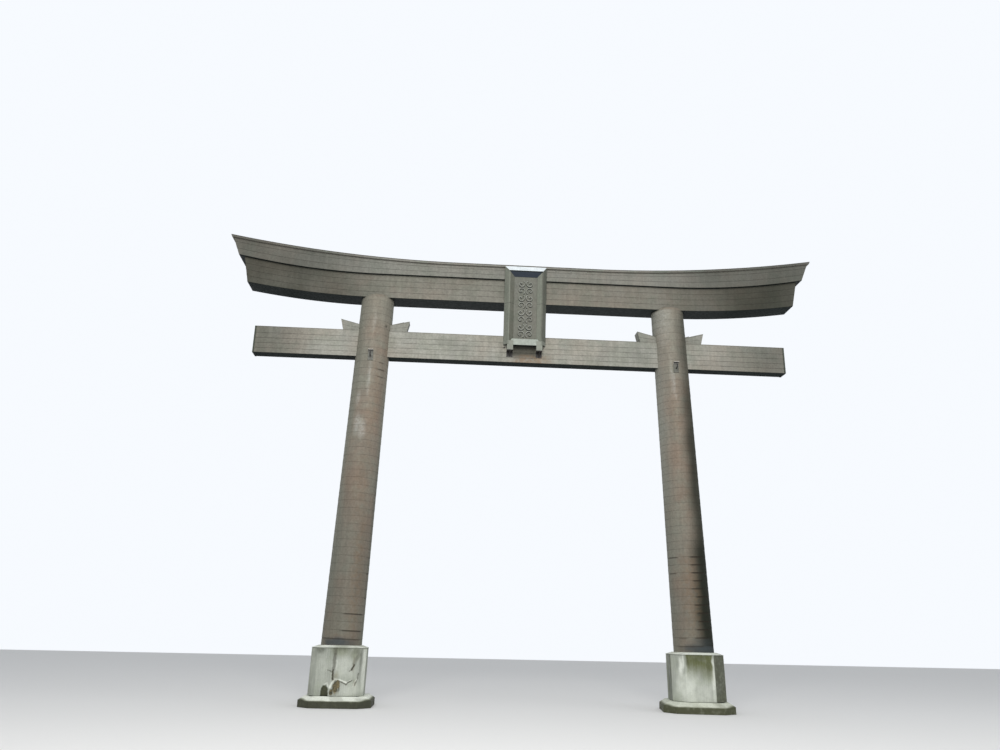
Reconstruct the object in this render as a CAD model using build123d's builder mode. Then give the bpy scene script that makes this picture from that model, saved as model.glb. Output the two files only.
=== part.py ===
import os
from math import asin, cos, degrees, radians, sin, sqrt, tan

from build123d import *

os.makedirs("parts", exist_ok=True)

# All sizes are in millimetres. X runs along the gate, Y runs through it from front to back,
# Z is up. The origin is on the ground, midway between the two pillars.

# Clearance between pieces that pass through each other or lie along each other
fit_gap = 0.3

# Footings: a bevelled base slab, a plinth block and a sloped mortar collar. They were cast by
# hand, so each stands turned by some degrees, and the right plinth has its corners cut deeper.
slab_width = 1370
slab_corner = 240
slab_height = 205
slab_bevel_width = 110
slab_bevel_height = 90
slab_turn = {"left": 0, "right": -9}
plinth_width = 1035
plinth_corner = {"left": 135, "right": 235}
plinth_height = 850
plinth_turn = {"left": 3, "right": -6}
collar_edge = 10
collar_rise = 50
collar_land = 14

# Pillars: round, tapered, leaning in towards each other
pillar_spacing = 7000
pillar_height = 7310
pillar_lean = 238
pillar_foot_diameter = 786
pillar_head_diameter = 707
pillar_head_rise = 70
pillar_shoulder_radius = 90

# Tie beam, its end caps and the wedges that lock it in the pillars
tie_length = 11690
tie_thickness = 280
tie_height = 592
tie_top_below_lintel = 752
tie_edge = 5
tie_cap_thickness = 6
tie_cap_depth = 34
wedge_thickness = 240
wedge_foot_reach = 325
wedge_tip_reach = 385
wedge_tip_height = 250
wedge_mouth_height = 153
wedge_middle_gap = 30

# Lower lintel
lower_thickness = 500
lower_height = 540
lower_half_underside = 6100
lower_half_top = 6226
lower_sweep_radius = 17400

# Upper lintel and its roof
upper_thickness = 620
upper_height = 285
upper_half_underside = 6340
upper_half_top = 6500
upper_underside_radius = 15190
crown_radius = 29200
crown_start = 1500
roof_eave = 40
roof_edge_height = 45
roof_rise = 140
roof_end_overhang = 40

# Strut between the tie beam and the lower lintel, behind the plaque
strut_width = 300
strut_thickness = 240

# Plaque: a frame of ridged section on two square feet, leaning forward, with a board laid on its
# outer slope all round
plaque_lean = 7
plaque_foot_above_tie_underside = 240
plaque_height = 1831
plaque_stile_outer = 386
plaque_stile_width = 130
plaque_frame_depth = 140
plaque_bevel_width = 99
plaque_bevel_depth = 80
plaque_ridge_inset = 34
plaque_foot_height = 230
plaque_sill_bottom = 134
plaque_sill_height = 148
plaque_sill_top_depth = 85
plaque_sill_overlap = 60
plaque_panel_back = 20
plaque_panel_thickness = 30
rim_thickness = 28
rim_side_angle = 59.4
rim_top_angle = 48.4
rim_bottom = 150

# Iron brackets under the plaque's feet and the ties at its back
bracket_plate = 12
bracket_width = 132
bracket_reach = 165
bracket_drop = 120
bracket_rib = 10
tie_block_width = 60
tie_block_height = 70
tie_block_reach = 200
tie_block_above_lower = 330

# Rope hooks on the front of the pillars
hook_plate_width = 110
hook_plate_height = 225
hook_plate_thickness = 14
hook_plate_top_above_tie_underside = 70
hook_hood_reach = 75
hook_hood_thickness = 14
hook_bar_diameter = 26
hook_reach = 100
hook_rise = 70
hook_bend = 30
hook_below_plate_top = 135

# Levels and places that follow from the sizes
slab_top = slab_height
plinth_top = slab_top + plinth_height
pillar_top = plinth_top + pillar_height
tie_top = pillar_top - tie_top_below_lintel
tie_underside = tie_top - tie_height
lower_top = pillar_top + lower_height
upper_underside = lower_top + fit_gap
upper_top = upper_underside + upper_height
roof_underside = upper_top + fit_gap
sweep_start = pillar_spacing / 2 - pillar_lean
sides = {"left": -1, "right": 1}


def pillar_axis_x(level):
    """Distance of a pillar's axis from the middle of the gate at a level."""
    return pillar_spacing / 2 - pillar_lean * (level - plinth_top) / pillar_height


def pillar_radius(level):
    """Radius of the tapered pillar at a level."""
    share = (level - plinth_top) / pillar_height
    return (pillar_foot_diameter * (1 - share) + pillar_head_diameter * share) / 2


def arc_rise(distance, radius):
    """Height gained by an arc, tangent to the level line, at a distance from its start."""
    return radius - sqrt(radius**2 - distance**2)


def corner_outline(side, level, outline_width, corner, turn):
    """Square with cut corners, centred under a pillar, turned and drawn at a level."""
    with BuildSketch(Plane.XY.offset(level)) as outline:
        with Locations((side * pillar_spacing / 2, 0)):
            Rectangle(outline_width, outline_width, rotation=turn)
        chamfer(outline.vertices(), length=corner)
    return outline.sketch


def pillar_core(side, allowance):
    """Leaning tapered shaft, longer than the pillar at both ends, for shaping and for cutting."""
    spare = pillar_head_rise + pillar_shoulder_radius
    foot = Vector(side * pillar_spacing / 2, 0, plinth_top)
    head = Vector(side * sweep_start, 0, pillar_top)
    slant = head - foot
    profile_plane = Plane(origin=foot, x_dir=(0, 1, 0), z_dir=Vector(0, 1, 0).cross(slant))
    taper = (pillar_foot_diameter - pillar_head_diameter) / 2 / slant.length
    foot_radius = pillar_foot_diameter / 2 + allowance
    with BuildPart() as core:
        with BuildSketch(profile_plane):
            with BuildLine():
                Polyline(
                    (0, -spare),
                    (foot_radius + taper * spare, -spare),
                    (foot_radius - taper * (slant.length + spare), slant.length + spare),
                    (0, slant.length + spare),
                    close=True,
                )
            make_face()
        revolve(axis=Axis(foot, slant))
    return core.part


pillar_cores = {name: pillar_core(side, 0) for name, side in sides.items()}
pillar_holes = {name: pillar_core(side, fit_gap) for name, side in sides.items()}

# Footings
bevel_start = slab_height - slab_bevel_height
slab_top_width = slab_width - 2 * slab_bevel_width
slab_top_corner = slab_corner - slab_bevel_width / 2
collar_top_width = pillar_foot_diameter + 2 * collar_land
for name, side in sides.items():
    with BuildPart() as slab:
        add(corner_outline(side, 0, slab_width, slab_corner, slab_turn[name]))
        extrude(amount=bevel_start)
        add(corner_outline(side, bevel_start, slab_width, slab_corner, slab_turn[name]))
        add(corner_outline(side, slab_top, slab_top_width, slab_top_corner, slab_turn[name]))
        loft()
    slab.part.label = f"base_slab_{name}"
    export_step(slab.part, f"parts/base_slab_{name}.step")

    corner = plinth_corner[name]
    turn = plinth_turn[name]
    with BuildPart() as plinth:
        add(corner_outline(side, slab_top, plinth_width, corner, turn))
        extrude(amount=plinth_height)
    plinth.part.label = f"plinth_{name}"
    export_step(plinth.part, f"parts/plinth_{name}.step")

    with BuildPart() as collar:
        add(corner_outline(side, plinth_top, plinth_width, corner, turn))
        extrude(amount=collar_edge)
        add(corner_outline(side, plinth_top + collar_edge, plinth_width, corner, turn))
        add(corner_outline(side, plinth_top + collar_rise, collar_top_width, corner, turn))
        loft()
        add(pillar_holes[name], mode=Mode.SUBTRACT)
    collar.part.label = f"plinth_collar_{name}"
    export_step(collar.part, f"parts/plinth_collar_{name}.step")

# Pillars, each with the mortise that takes the tie beam and its wedges, and with the lower lintel
# let into its rounded head
mortise_height = tie_height + wedge_mouth_height + fit_gap
head_top = pillar_top + pillar_head_rise
for name, side in sides.items():
    with BuildPart() as pillar:
        add(pillar_cores[name])
        split(bisect_by=Plane.XY.offset(head_top), keep=Keep.BOTTOM)
        split(bisect_by=Plane.XY.offset(plinth_top), keep=Keep.TOP)
        fillet(pillar.faces().sort_by(Axis.Z)[-1].edges(), radius=pillar_shoulder_radius)
        with Locations((side * pillar_axis_x(tie_top), 0, tie_underside + mortise_height / 2)):
            Box(
                2 * pillar_foot_diameter,
                tie_thickness + 2 * fit_gap,
                mortise_height,
                mode=Mode.SUBTRACT,
            )
        with Locations((side * sweep_start, 0, pillar_top + lower_height / 2)):
            Box(
                2 * pillar_head_diameter,
                lower_thickness + 2 * fit_gap,
                lower_height,
                mode=Mode.SUBTRACT,
            )
    pillar.part.label = f"pillar_{name}"
    export_step(pillar.part, f"parts/pillar_{name}.step")

# Tie beam, one straight timber through both pillars
with BuildPart() as tie:
    with Locations((0, 0, tie_underside + tie_height / 2)):
        Box(tie_length, tie_thickness, tie_height)
    chamfer(tie.edges().filter_by(Axis.X), length=tie_edge)
tie.part.label = "tie_beam"
export_step(tie.part, "parts/tie_beam.step")

for name, side in sides.items():
    cap_outer_x = tie_length / 2 + fit_gap + tie_cap_thickness
    cap_centre_x = side * (cap_outer_x - tie_cap_depth / 2)
    with BuildPart() as cap:
        with Locations((cap_centre_x, 0, tie_underside + tie_height / 2)):
            Box(
                tie_cap_depth,
                tie_thickness + 2 * (fit_gap + tie_cap_thickness),
                tie_height + 2 * (fit_gap + tie_cap_thickness),
            )
        with Locations((0, 0, tie_underside + tie_height / 2)):
            Box(
                tie_length + 2 * fit_gap,
                tie_thickness + 2 * fit_gap,
                tie_height + 2 * fit_gap,
                mode=Mode.SUBTRACT,
            )
    cap.part.label = f"tie_beam_cap_{name}"
    export_step(cap.part, f"parts/tie_beam_cap_{name}.step")

# Wedges, driven in above the tie beam from both sides of each pillar
mouth_level = tie_top + wedge_mouth_height
wedge_slope = (wedge_tip_height - wedge_mouth_height) / wedge_tip_reach
mouth_depth = pillar_radius(mouth_level)
wedge_end_height = wedge_mouth_height - wedge_slope * (mouth_depth - wedge_middle_gap / 2)
for name, side in sides.items():
    for place, direction in (("outer", side), ("inner", -side)):
        axis_x = side * pillar_axis_x(mouth_level)
        end_x = axis_x + direction * wedge_middle_gap / 2
        with BuildPart() as wedge:
            with BuildSketch(Plane.XZ):
                with BuildLine():
                    Polyline(
                        (end_x, tie_top),
                        (axis_x + direction * (mouth_depth + wedge_foot_reach), tie_top),
                        (
                            axis_x + direction * (mouth_depth + wedge_tip_reach),
                            tie_top + wedge_tip_height,
                        ),
                        (end_x, tie_top + wedge_end_height),
                        close=True,
                    )
                make_face()
            extrude(amount=wedge_thickness / 2, both=True)
        wedge.part.label = f"wedge_{name}_{place}"
        export_step(wedge.part, f"parts/wedge_{name}_{place}.step")

# Lower lintel, straight between the pillars and sweeping up to both ends
with BuildPart() as lower:
    with BuildSketch(Plane.XZ):
        with BuildLine():
            under_rise = arc_rise(lower_half_underside - sweep_start, lower_sweep_radius)
            top_rise = arc_rise(lower_half_top - sweep_start, upper_underside_radius)
            under_tip = (lower_half_underside, pillar_top + under_rise)
            top_tip = (lower_half_top, lower_top + top_rise)
            Line((0, pillar_top), (sweep_start, pillar_top))
            TangentArc((sweep_start, pillar_top), under_tip, tangent=(1, 0))
            Line(under_tip, top_tip)
            TangentArc((sweep_start, lower_top), top_tip, tangent=(1, 0))
            Line((sweep_start, lower_top), (0, lower_top))
            mirror(about=Plane.YZ)
        make_face()
    extrude(amount=lower_thickness / 2, both=True)
lower.part.label = "lower_lintel"
export_step(lower.part, "parts/lower_lintel.step")

# Upper lintel, thicker towards its upswept ends, which are cut at a slant
upper_under_rise = arc_rise(upper_half_underside - sweep_start, upper_underside_radius)
upper_under_tip = (upper_half_underside, upper_underside + upper_under_rise)
crown_rise = arc_rise(upper_half_top - crown_start, crown_radius)
upper_top_tip = (upper_half_top, upper_top + crown_rise)
with BuildPart() as upper:
    with BuildSketch(Plane.XZ):
        with BuildLine():
            Line((0, upper_underside), (sweep_start, upper_underside))
            TangentArc((sweep_start, upper_underside), upper_under_tip, tangent=(1, 0))
            Line(upper_under_tip, upper_top_tip)
            TangentArc((crown_start, upper_top), upper_top_tip, tangent=(1, 0))
            Line((crown_start, upper_top), (0, upper_top))
            mirror(about=Plane.YZ)
        make_face()
    extrude(amount=upper_thickness / 2, both=True)
upper.part.label = "upper_lintel"
export_step(upper.part, "parts/upper_lintel.step")


def roof_section(plane):
    """Cross-section of the roof: a square-edged eave each side and a low ridge."""
    half = upper_thickness / 2 + roof_eave
    with BuildSketch(plane) as section:
        with BuildLine():
            Polyline(
                (-half, roof_underside),
                (half, roof_underside),
                (half, roof_underside + roof_edge_height),
                (0, roof_underside + roof_edge_height + roof_rise),
                (-half, roof_underside + roof_edge_height),
                close=True,
            )
        make_face()
    return section.sketch


# Roof over the upper lintel, following its crown and cut to the same slant at the ends
roof_reach = upper_half_top + roof_rise + 2 * roof_end_overhang
roof_arc = degrees(asin((roof_reach - crown_start) / crown_radius))
with BuildPart() as roof:
    add(roof_section(Plane.YZ.offset(-crown_start)))
    extrude(amount=2 * crown_start, dir=(1, 0, 0))
    for side in sides.values():
        add(roof_section(Plane.YZ.offset(side * crown_start)))
        crown_centre = (side * crown_start, 0, roof_underside + crown_radius)
        revolve(axis=Axis(crown_centre, (0, -side, 0)), revolution_arc=roof_arc)
    for side in sides.values():
        end_slant = Vector(
            side * (upper_half_top - upper_half_underside),
            0,
            upper_top_tip[1] - upper_under_tip[1],
        )
        end_normal = Vector(0, side, 0).cross(end_slant).normalized()
        end_point = Vector(side * upper_half_top, 0, upper_top_tip[1])
        end_plane = Plane(
            origin=end_point + end_normal * roof_end_overhang,
            x_dir=(0, 1, 0),
            z_dir=end_normal,
        )
        split(bisect_by=end_plane, keep=Keep.BOTTOM)
roof.part.label = "roof"
export_step(roof.part, "parts/roof.step")

# Strut between the tie beam and the lower lintel
with BuildPart() as strut:
    with Locations((0, 0, (tie_top + pillar_top) / 2)):
        Box(strut_width, strut_thickness, pillar_top - tie_top)
strut.part.label = "plaque_strut"
export_step(strut.part, "parts/plaque_strut.step")

# Plaque. Its own plane lies on the back of the frame: x across, y up the frame, z to the front
lean = radians(plaque_lean)
foot_level = tie_underside + plaque_foot_above_tie_underside
back_y = -(tie_thickness / 2 + fit_gap)
plaque_normal = (0, -cos(lean), -sin(lean))
plaque_plane = Plane(origin=(0, back_y, foot_level), x_dir=(1, 0, 0), z_dir=plaque_normal)
stile_inner = plaque_stile_outer - plaque_stile_width
bevel_floor = plaque_frame_depth - plaque_bevel_depth
bevel_rise = plaque_bevel_depth / plaque_bevel_width
ridge_depth = bevel_floor + bevel_rise * (plaque_stile_width - plaque_ridge_inset)


def plaque_profile_plane(up):
    """Plane across a stile at a height up the frame, with x across and y out to the front."""
    return Plane(
        origin=plaque_plane.from_local_coords(Vector(0, up, 0)),
        x_dir=(1, 0, 0),
        z_dir=-plaque_plane.y_dir,
    )


def plaque_side_plane(across):
    """Plane across a rail at a place across the frame, with x up and y out to the front."""
    return Plane(
        origin=plaque_plane.from_local_coords(Vector(across, 0, 0)),
        x_dir=plaque_plane.y_dir,
        z_dir=plaque_plane.x_dir,
    )


def mitre_plane(side, inner, outer):
    """Plane through two points of a top corner of the frame, facing the outside of the corner."""
    across, up = outer[0] - inner[0], outer[1] - inner[1]
    corner = plaque_plane.from_local_coords(Vector(side * outer[0], outer[1], 0))
    normal = plaque_plane.x_dir * (side * up) - plaque_plane.y_dir * across
    return Plane(origin=corner, x_dir=plaque_plane.z_dir, z_dir=normal)


def frame_profile(outer, sign):
    """Square timber with its inner front edge cut to a wide bevel, drawn from its outer edge."""
    return [
        (outer, 0),
        (outer, plaque_frame_depth),
        (outer - sign * (plaque_stile_width - plaque_bevel_width), plaque_frame_depth),
        (outer - sign * plaque_stile_width, bevel_floor),
        (outer - sign * plaque_stile_width, 0),
    ]


def slope_foot(outer, angle, height):
    """Distance of a face from the frame's middle where it meets the plane of the back.

    The face is parallel to the outer slope of a timber, at a height above it.
    """
    return outer - plaque_ridge_inset + ridge_depth / tan(angle) + height / sin(angle)


def slope_profile(outer, angle, sign):
    """Room in front of the outer slope of a timber, which the slope takes off its corner."""
    front = 2 * plaque_frame_depth
    foot = slope_foot(outer, angle, 0)
    return [
        (sign * foot, 0),
        (sign * (foot - front / tan(angle)), front),
        (sign * (foot + plaque_stile_width), front),
        (sign * (foot + plaque_stile_width), 0),
    ]


def rim_edge(outer, angle, height):
    """Front edge of a board's face, level with the ridge of the timber under it."""
    ridge = outer - plaque_ridge_inset
    return ridge + height * sin(angle), ridge_depth + height * cos(angle)


def rim_profile(outer, angle, sign):
    """Board laid on the outer slope of a timber, from its ridge back to the plane of its back."""
    inner_edge, inner_depth = rim_edge(outer, angle, fit_gap)
    outer_edge, outer_depth = rim_edge(outer, angle, fit_gap + rim_thickness)
    return [
        (sign * inner_edge, inner_depth),
        (sign * outer_edge, outer_depth),
        (sign * slope_foot(outer, angle, fit_gap + rim_thickness), 0),
        (sign * slope_foot(outer, angle, fit_gap), 0),
    ]


side_angle = radians(rim_side_angle)
top_angle = radians(rim_top_angle)
frame_inner_corner = (stile_inner, plaque_height - plaque_stile_width)
frame_outer_corner = (plaque_stile_outer, plaque_height)
rim_height = fit_gap + rim_thickness
rim_inner_corner = (
    rim_edge(plaque_stile_outer, side_angle, rim_height)[0],
    rim_edge(plaque_height, top_angle, rim_height)[0],
)
rim_outer_corner = (
    slope_foot(plaque_stile_outer, side_angle, rim_height),
    slope_foot(plaque_height, top_angle, rim_height),
)

plaque_stiles = []
side_slopes = []
for name, side in sides.items():
    with BuildPart() as slope:
        with BuildSketch(plaque_profile_plane(rim_bottom - fit_gap)):
            with BuildLine():
                Polyline(*slope_profile(plaque_stile_outer, side_angle, side), close=True)
            make_face()
        extrude(amount=-plaque_height)
    side_slopes.append(slope.part)

    with BuildPart() as stile:
        with BuildSketch(plaque_profile_plane(plaque_height)):
            with BuildLine():
                Polyline(*frame_profile(side * plaque_stile_outer, side), close=True)
            make_face()
        extrude(amount=plaque_height + plaque_frame_depth)
        with BuildSketch(plaque_profile_plane(plaque_foot_height)):
            with Locations((side * (stile_inner + plaque_stile_width / 2), plaque_frame_depth / 2)):
                Rectangle(plaque_stile_width, plaque_frame_depth)
        extrude(amount=plaque_foot_height + plaque_frame_depth)
        add(slope.part, mode=Mode.SUBTRACT)
        split(bisect_by=mitre_plane(side, frame_inner_corner, frame_outer_corner), keep=Keep.TOP)
        split(bisect_by=Plane.XY.offset(foot_level), keep=Keep.TOP)
    stile.part.label = f"plaque_stile_{name}"
    export_step(stile.part, f"parts/plaque_stile_{name}.step")
    plaque_stiles.append(stile.part)

    with BuildPart() as rim:
        with BuildSketch(plaque_profile_plane(rim_outer_corner[1])):
            with BuildLine():
                Polyline(*rim_profile(plaque_stile_outer, side_angle, side), close=True)
            make_face()
        extrude(amount=rim_outer_corner[1] - rim_bottom)
        split(bisect_by=mitre_plane(side, rim_inner_corner, rim_outer_corner), keep=Keep.TOP)
    rim.part.label = f"plaque_rim_{name}"
    export_step(rim.part, f"parts/plaque_rim_{name}.step")

with BuildPart() as head:
    with BuildSketch(plaque_side_plane(0)):
        with BuildLine():
            Polyline(*frame_profile(plaque_height, 1), close=True)
        make_face()
        with BuildLine():
            Polyline(*slope_profile(plaque_height, top_angle, 1), close=True)
        make_face(mode=Mode.SUBTRACT)
    extrude(amount=plaque_stile_outer, both=True)
    add(side_slopes, mode=Mode.SUBTRACT)
    for side in sides.values():
        split(bisect_by=mitre_plane(side, frame_inner_corner, frame_outer_corner), keep=Keep.BOTTOM)
head.part.label = "plaque_head"
export_step(head.part, "parts/plaque_head.step")

with BuildPart() as rim_top:
    with BuildSketch(plaque_side_plane(0)):
        with BuildLine():
            Polyline(*rim_profile(plaque_height, top_angle, 1), close=True)
        make_face()
    extrude(amount=rim_outer_corner[0], both=True)
    for side in sides.values():
        split(bisect_by=mitre_plane(side, rim_inner_corner, rim_outer_corner), keep=Keep.BOTTOM)
rim_top.part.label = "plaque_rim_top"
export_step(rim_top.part, "parts/plaque_rim_top.step")

# Sill of the plaque, between the stiles above the feet, its face sloping back to the panel
sill_top = plaque_sill_bottom + plaque_sill_height
with BuildPart() as sill:
    with BuildSketch(plaque_side_plane(0)):
        with BuildLine():
            Polyline(
                (plaque_sill_bottom, 0),
                (plaque_sill_bottom, plaque_frame_depth),
                (sill_top, plaque_sill_top_depth),
                (sill_top, 0),
                close=True,
            )
        make_face()
    extrude(amount=stile_inner + plaque_sill_overlap, both=True)
    add(plaque_stiles, mode=Mode.SUBTRACT)
sill.part.label = "plaque_sill"
export_step(sill.part, "parts/plaque_sill.step")

panel_bottom = sill_top + fit_gap
panel_top = plaque_height - plaque_stile_width - fit_gap
with BuildPart() as panel:
    with BuildSketch(plaque_plane.offset(plaque_panel_back)):
        with Locations((0, (panel_bottom + panel_top) / 2)):
            Rectangle(2 * (stile_inner - fit_gap), panel_top - panel_bottom)
    extrude(amount=plaque_panel_thickness)
panel.part.label = "plaque_panel"
export_step(panel.part, "parts/plaque_panel.step")

# Iron brackets that carry the feet on the face of the tie beam, and blocks that hold the back
stile_centre = plaque_stile_outer - plaque_stile_width / 2
tie_face_y = -tie_thickness / 2
lower_face_y = -lower_thickness / 2
tie_block_level = pillar_top + tie_block_above_lower
for name, side in sides.items():
    foot_x = side * stile_centre
    with BuildPart() as bracket:
        with Locations((foot_x, tie_face_y - bracket_reach / 2, foot_level - bracket_plate / 2)):
            Box(bracket_width, bracket_reach, bracket_plate)
        with Locations((foot_x, tie_face_y - bracket_plate / 2, foot_level - bracket_drop / 2)):
            Box(bracket_width, bracket_plate, bracket_drop)
        with BuildSketch(Plane.YZ.offset(foot_x)):
            with BuildLine():
                Polyline(
                    (tie_face_y - bracket_plate, foot_level - bracket_plate),
                    (tie_face_y - bracket_reach, foot_level - bracket_plate),
                    (tie_face_y - bracket_plate, foot_level - bracket_drop),
                    close=True,
                )
            make_face()
        extrude(amount=bracket_rib / 2, both=True)
    bracket.part.label = f"plaque_bracket_{name}"
    export_step(bracket.part, f"parts/plaque_bracket_{name}.step")

    with BuildPart() as block:
        with Locations((foot_x, lower_face_y - tie_block_reach / 2, tie_block_level)):
            Box(tie_block_width, tie_block_reach, tie_block_height)
        split(bisect_by=plaque_plane.offset(-fit_gap), keep=Keep.BOTTOM)
    block.part.label = f"plaque_tie_{name}"
    export_step(block.part, f"parts/plaque_tie_{name}.step")

# Rope hooks, a hooded plate shaped to the pillar and a bent bar
plate_top = tie_underside + hook_plate_top_above_tie_underside
plate_level = plate_top - hook_plate_height / 2
hook_level = plate_top - hook_below_plate_top
for name, side in sides.items():
    plate_x = side * pillar_axis_x(plate_level)
    plate_face_y = -pillar_radius(plate_level) - fit_gap - hook_plate_thickness
    plate_depth = hook_plate_thickness + hook_plate_width / 4
    with BuildPart() as plate:
        with Locations((plate_x, plate_face_y + plate_depth / 2, plate_level)):
            Box(hook_plate_width, plate_depth, hook_plate_height)
        with Locations((plate_x, plate_face_y, plate_top - hook_hood_thickness / 2)):
            Box(hook_plate_width, 2 * hook_hood_reach, hook_hood_thickness)
        add(pillar_holes[name], mode=Mode.SUBTRACT)
    plate.part.label = f"rope_hook_plate_{name}"
    export_step(plate.part, f"parts/rope_hook_plate_{name}.step")

    with BuildPart() as hook:
        with BuildLine():
            FilletPolyline(
                (plate_x, plate_face_y, hook_level),
                (plate_x, plate_face_y - hook_reach, hook_level),
                (plate_x, plate_face_y - hook_reach, hook_level + hook_rise),
                radius=hook_bend,
            )
        with BuildSketch(Plane(origin=(plate_x, plate_face_y, hook_level), z_dir=(0, -1, 0))):
            Circle(hook_bar_diameter / 2)
        sweep()
    hook.part.label = f"rope_hook_{name}"
    export_step(hook.part, f"parts/rope_hook_{name}.step")
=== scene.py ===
from math import asin, atan, atan2, copysign, cos, exp, hypot, pi, radians, sin, sqrt
from random import Random

import bpy
from mathutils import Matrix, Vector, noise


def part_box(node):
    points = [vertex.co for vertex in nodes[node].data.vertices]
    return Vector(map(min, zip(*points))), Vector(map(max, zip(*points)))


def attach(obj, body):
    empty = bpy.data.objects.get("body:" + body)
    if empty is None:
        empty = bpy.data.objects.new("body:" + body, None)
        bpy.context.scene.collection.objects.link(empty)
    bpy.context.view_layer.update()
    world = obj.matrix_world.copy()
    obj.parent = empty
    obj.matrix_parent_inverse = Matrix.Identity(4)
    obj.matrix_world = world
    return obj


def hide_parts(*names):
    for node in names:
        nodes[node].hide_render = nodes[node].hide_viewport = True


# A torii gate of timber, clad all over in old copper sheet, on plastered plinths. X runs along the
# gate, Y runs through it from front to back and Z is up, in metres.
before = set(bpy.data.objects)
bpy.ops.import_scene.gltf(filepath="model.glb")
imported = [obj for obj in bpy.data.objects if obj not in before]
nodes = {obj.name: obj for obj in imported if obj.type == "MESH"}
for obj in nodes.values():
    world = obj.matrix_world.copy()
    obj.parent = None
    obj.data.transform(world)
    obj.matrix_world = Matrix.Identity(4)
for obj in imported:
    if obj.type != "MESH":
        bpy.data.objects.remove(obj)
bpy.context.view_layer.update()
sides = {"left": -1, "right": 1}

# Base slabs. Each is a low slab of cast concrete with cut corners, bedded on the ground, and its
# top edge is struck off to a wide bevel. Rain keeps the bevel pale, and it is painted paler still
# for the sky light on it. The sides have mossed over, and just below the bevel they carry dirt and
# painted shade.
slab_low, slab_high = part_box("base_slab_left")
slab_half = (slab_high.x - slab_low.x) / 2
pillar_foot_x = -(slab_high.x + slab_low.x) / 2
SLAB_CORNER = 0.240
SLAB_BEVEL_WIDTH = 0.110
SLAB_BEVEL_HEIGHT = 0.074
SLAB_CHIP_DEPTH = 0.008
SLAB_WAVE = 0.003
SLAB_PITS = 0.0015
SLAB_STEPS = [70, 22] * 4
SLAB_SIDE_RINGS = 8
SLAB_BEVEL_RINGS = 9
SLAB_TURN = {"left": 0.0, "right": -9.0}


class Finish:
    """The nodes of one material. Each method adds nodes and gives back the socket to use."""

    def __init__(self, name):
        self.material = bpy.data.materials.new(name)
        self.material.use_nodes = True
        self.tree = self.material.node_tree
        self.shader = self.tree.nodes["Principled BSDF"]
        self.place = self.add("TexCoord").outputs["Object"]

    def add(self, kind, inputs=(), **settings):
        made = self.tree.nodes.new("ShaderNode" + kind)
        for setting, value in settings.items():
            setattr(made, setting, value)
        for socket, value in dict(inputs).items():
            self.feed(made.inputs[socket], value)
        return made

    def feed(self, socket, value):
        if isinstance(value, bpy.types.NodeSocket):
            self.tree.links.new(value, socket)
        else:
            socket.default_value = value

    def noise(self, scale, detail, stretch=(1, 1, 1)):
        """Cloudy noise from 0 to 1, with scale in blotches a metre, drawn out along an axis."""
        mapped = self.add("Mapping", {"Vector": self.place, "Scale": stretch})
        inputs = {"Vector": mapped.outputs[0], "Scale": scale, "Detail": detail, "Roughness": 0.55}
        return self.add("TexNoise", inputs).outputs[0]

    def span(self, value, low, high, to_low=0.0, to_high=1.0):
        """The value between two limits, read as a share between two others."""
        inputs = {"Value": value, "From Min": low, "From Max": high, "To Min": to_low, "To Max": to_high}
        return self.add("MapRange", inputs, interpolation_type="SMOOTHSTEP").outputs[0]

    def cloud(self, scale, detail, low, high, to_low=0.0, to_high=1.0, stretch=(1, 1, 1)):
        """Noise, read as a share in the same way."""
        return self.span(self.noise(scale, detail, stretch), low, high, to_low, to_high)

    def math(self, operation, a, b=0.0):
        return self.add("Math", {0: a, 1: b}, operation=operation).outputs[0]

    def times(self, a, b):
        return self.math("MULTIPLY", a, b)

    def mark(self, name):
        """A number painted on the piece's points."""
        return self.add("Attribute", attribute_name=name).outputs["Fac"]

    def upward(self, vector):
        return self.add("SeparateXYZ", {0: vector}).outputs[2]

    def facing_up(self):
        """Upward part of the surface's direction: 1 on top faces, 0 on walls, -1 on undersides."""
        return self.upward(self.add("NewGeometry").outputs["Normal"])

    def mix(self, share, a, b, how="MIX"):
        made = self.add("Mix", data_type="RGBA", blend_type=how)
        for number, value in ((0, share), (6, a), (7, b)):
            self.feed(made.inputs[number], (*value, 1) if isinstance(value, tuple) else value)
        return made.outputs[2]

    def scale(self, colour, level):
        """The colour made lighter or darker by a number."""
        grey = self.add("CombineColor", {0: level, 1: level, 2: level}).outputs[0]
        return self.mix(1.0, colour, grey, "MULTIPLY")

    def stain(self, colour, mark, onto, *grain):
        """The colour with another laid on where a mark is painted, broken up by a cloud's grain."""
        return self.mix(self.times(self.mark(mark), self.cloud(*grain)), colour, onto)

    def bump(self, height, depth, below=None):
        inputs = {"Height": height, "Distance": depth, "Strength": 1.0}
        if below:
            inputs["Normal"] = below
        return self.add("Bump", inputs).outputs[0]

    def done(self, colour, roughness, normal, metallic=0.0, specular=0.5):
        inputs = {"Base Color": colour, "Roughness": roughness, "Normal": normal, "Metallic": metallic}
        inputs["Specular IOR Level"] = specular
        for name, value in inputs.items():
            self.feed(self.shader.inputs[name], value)
        return self.material


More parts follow.
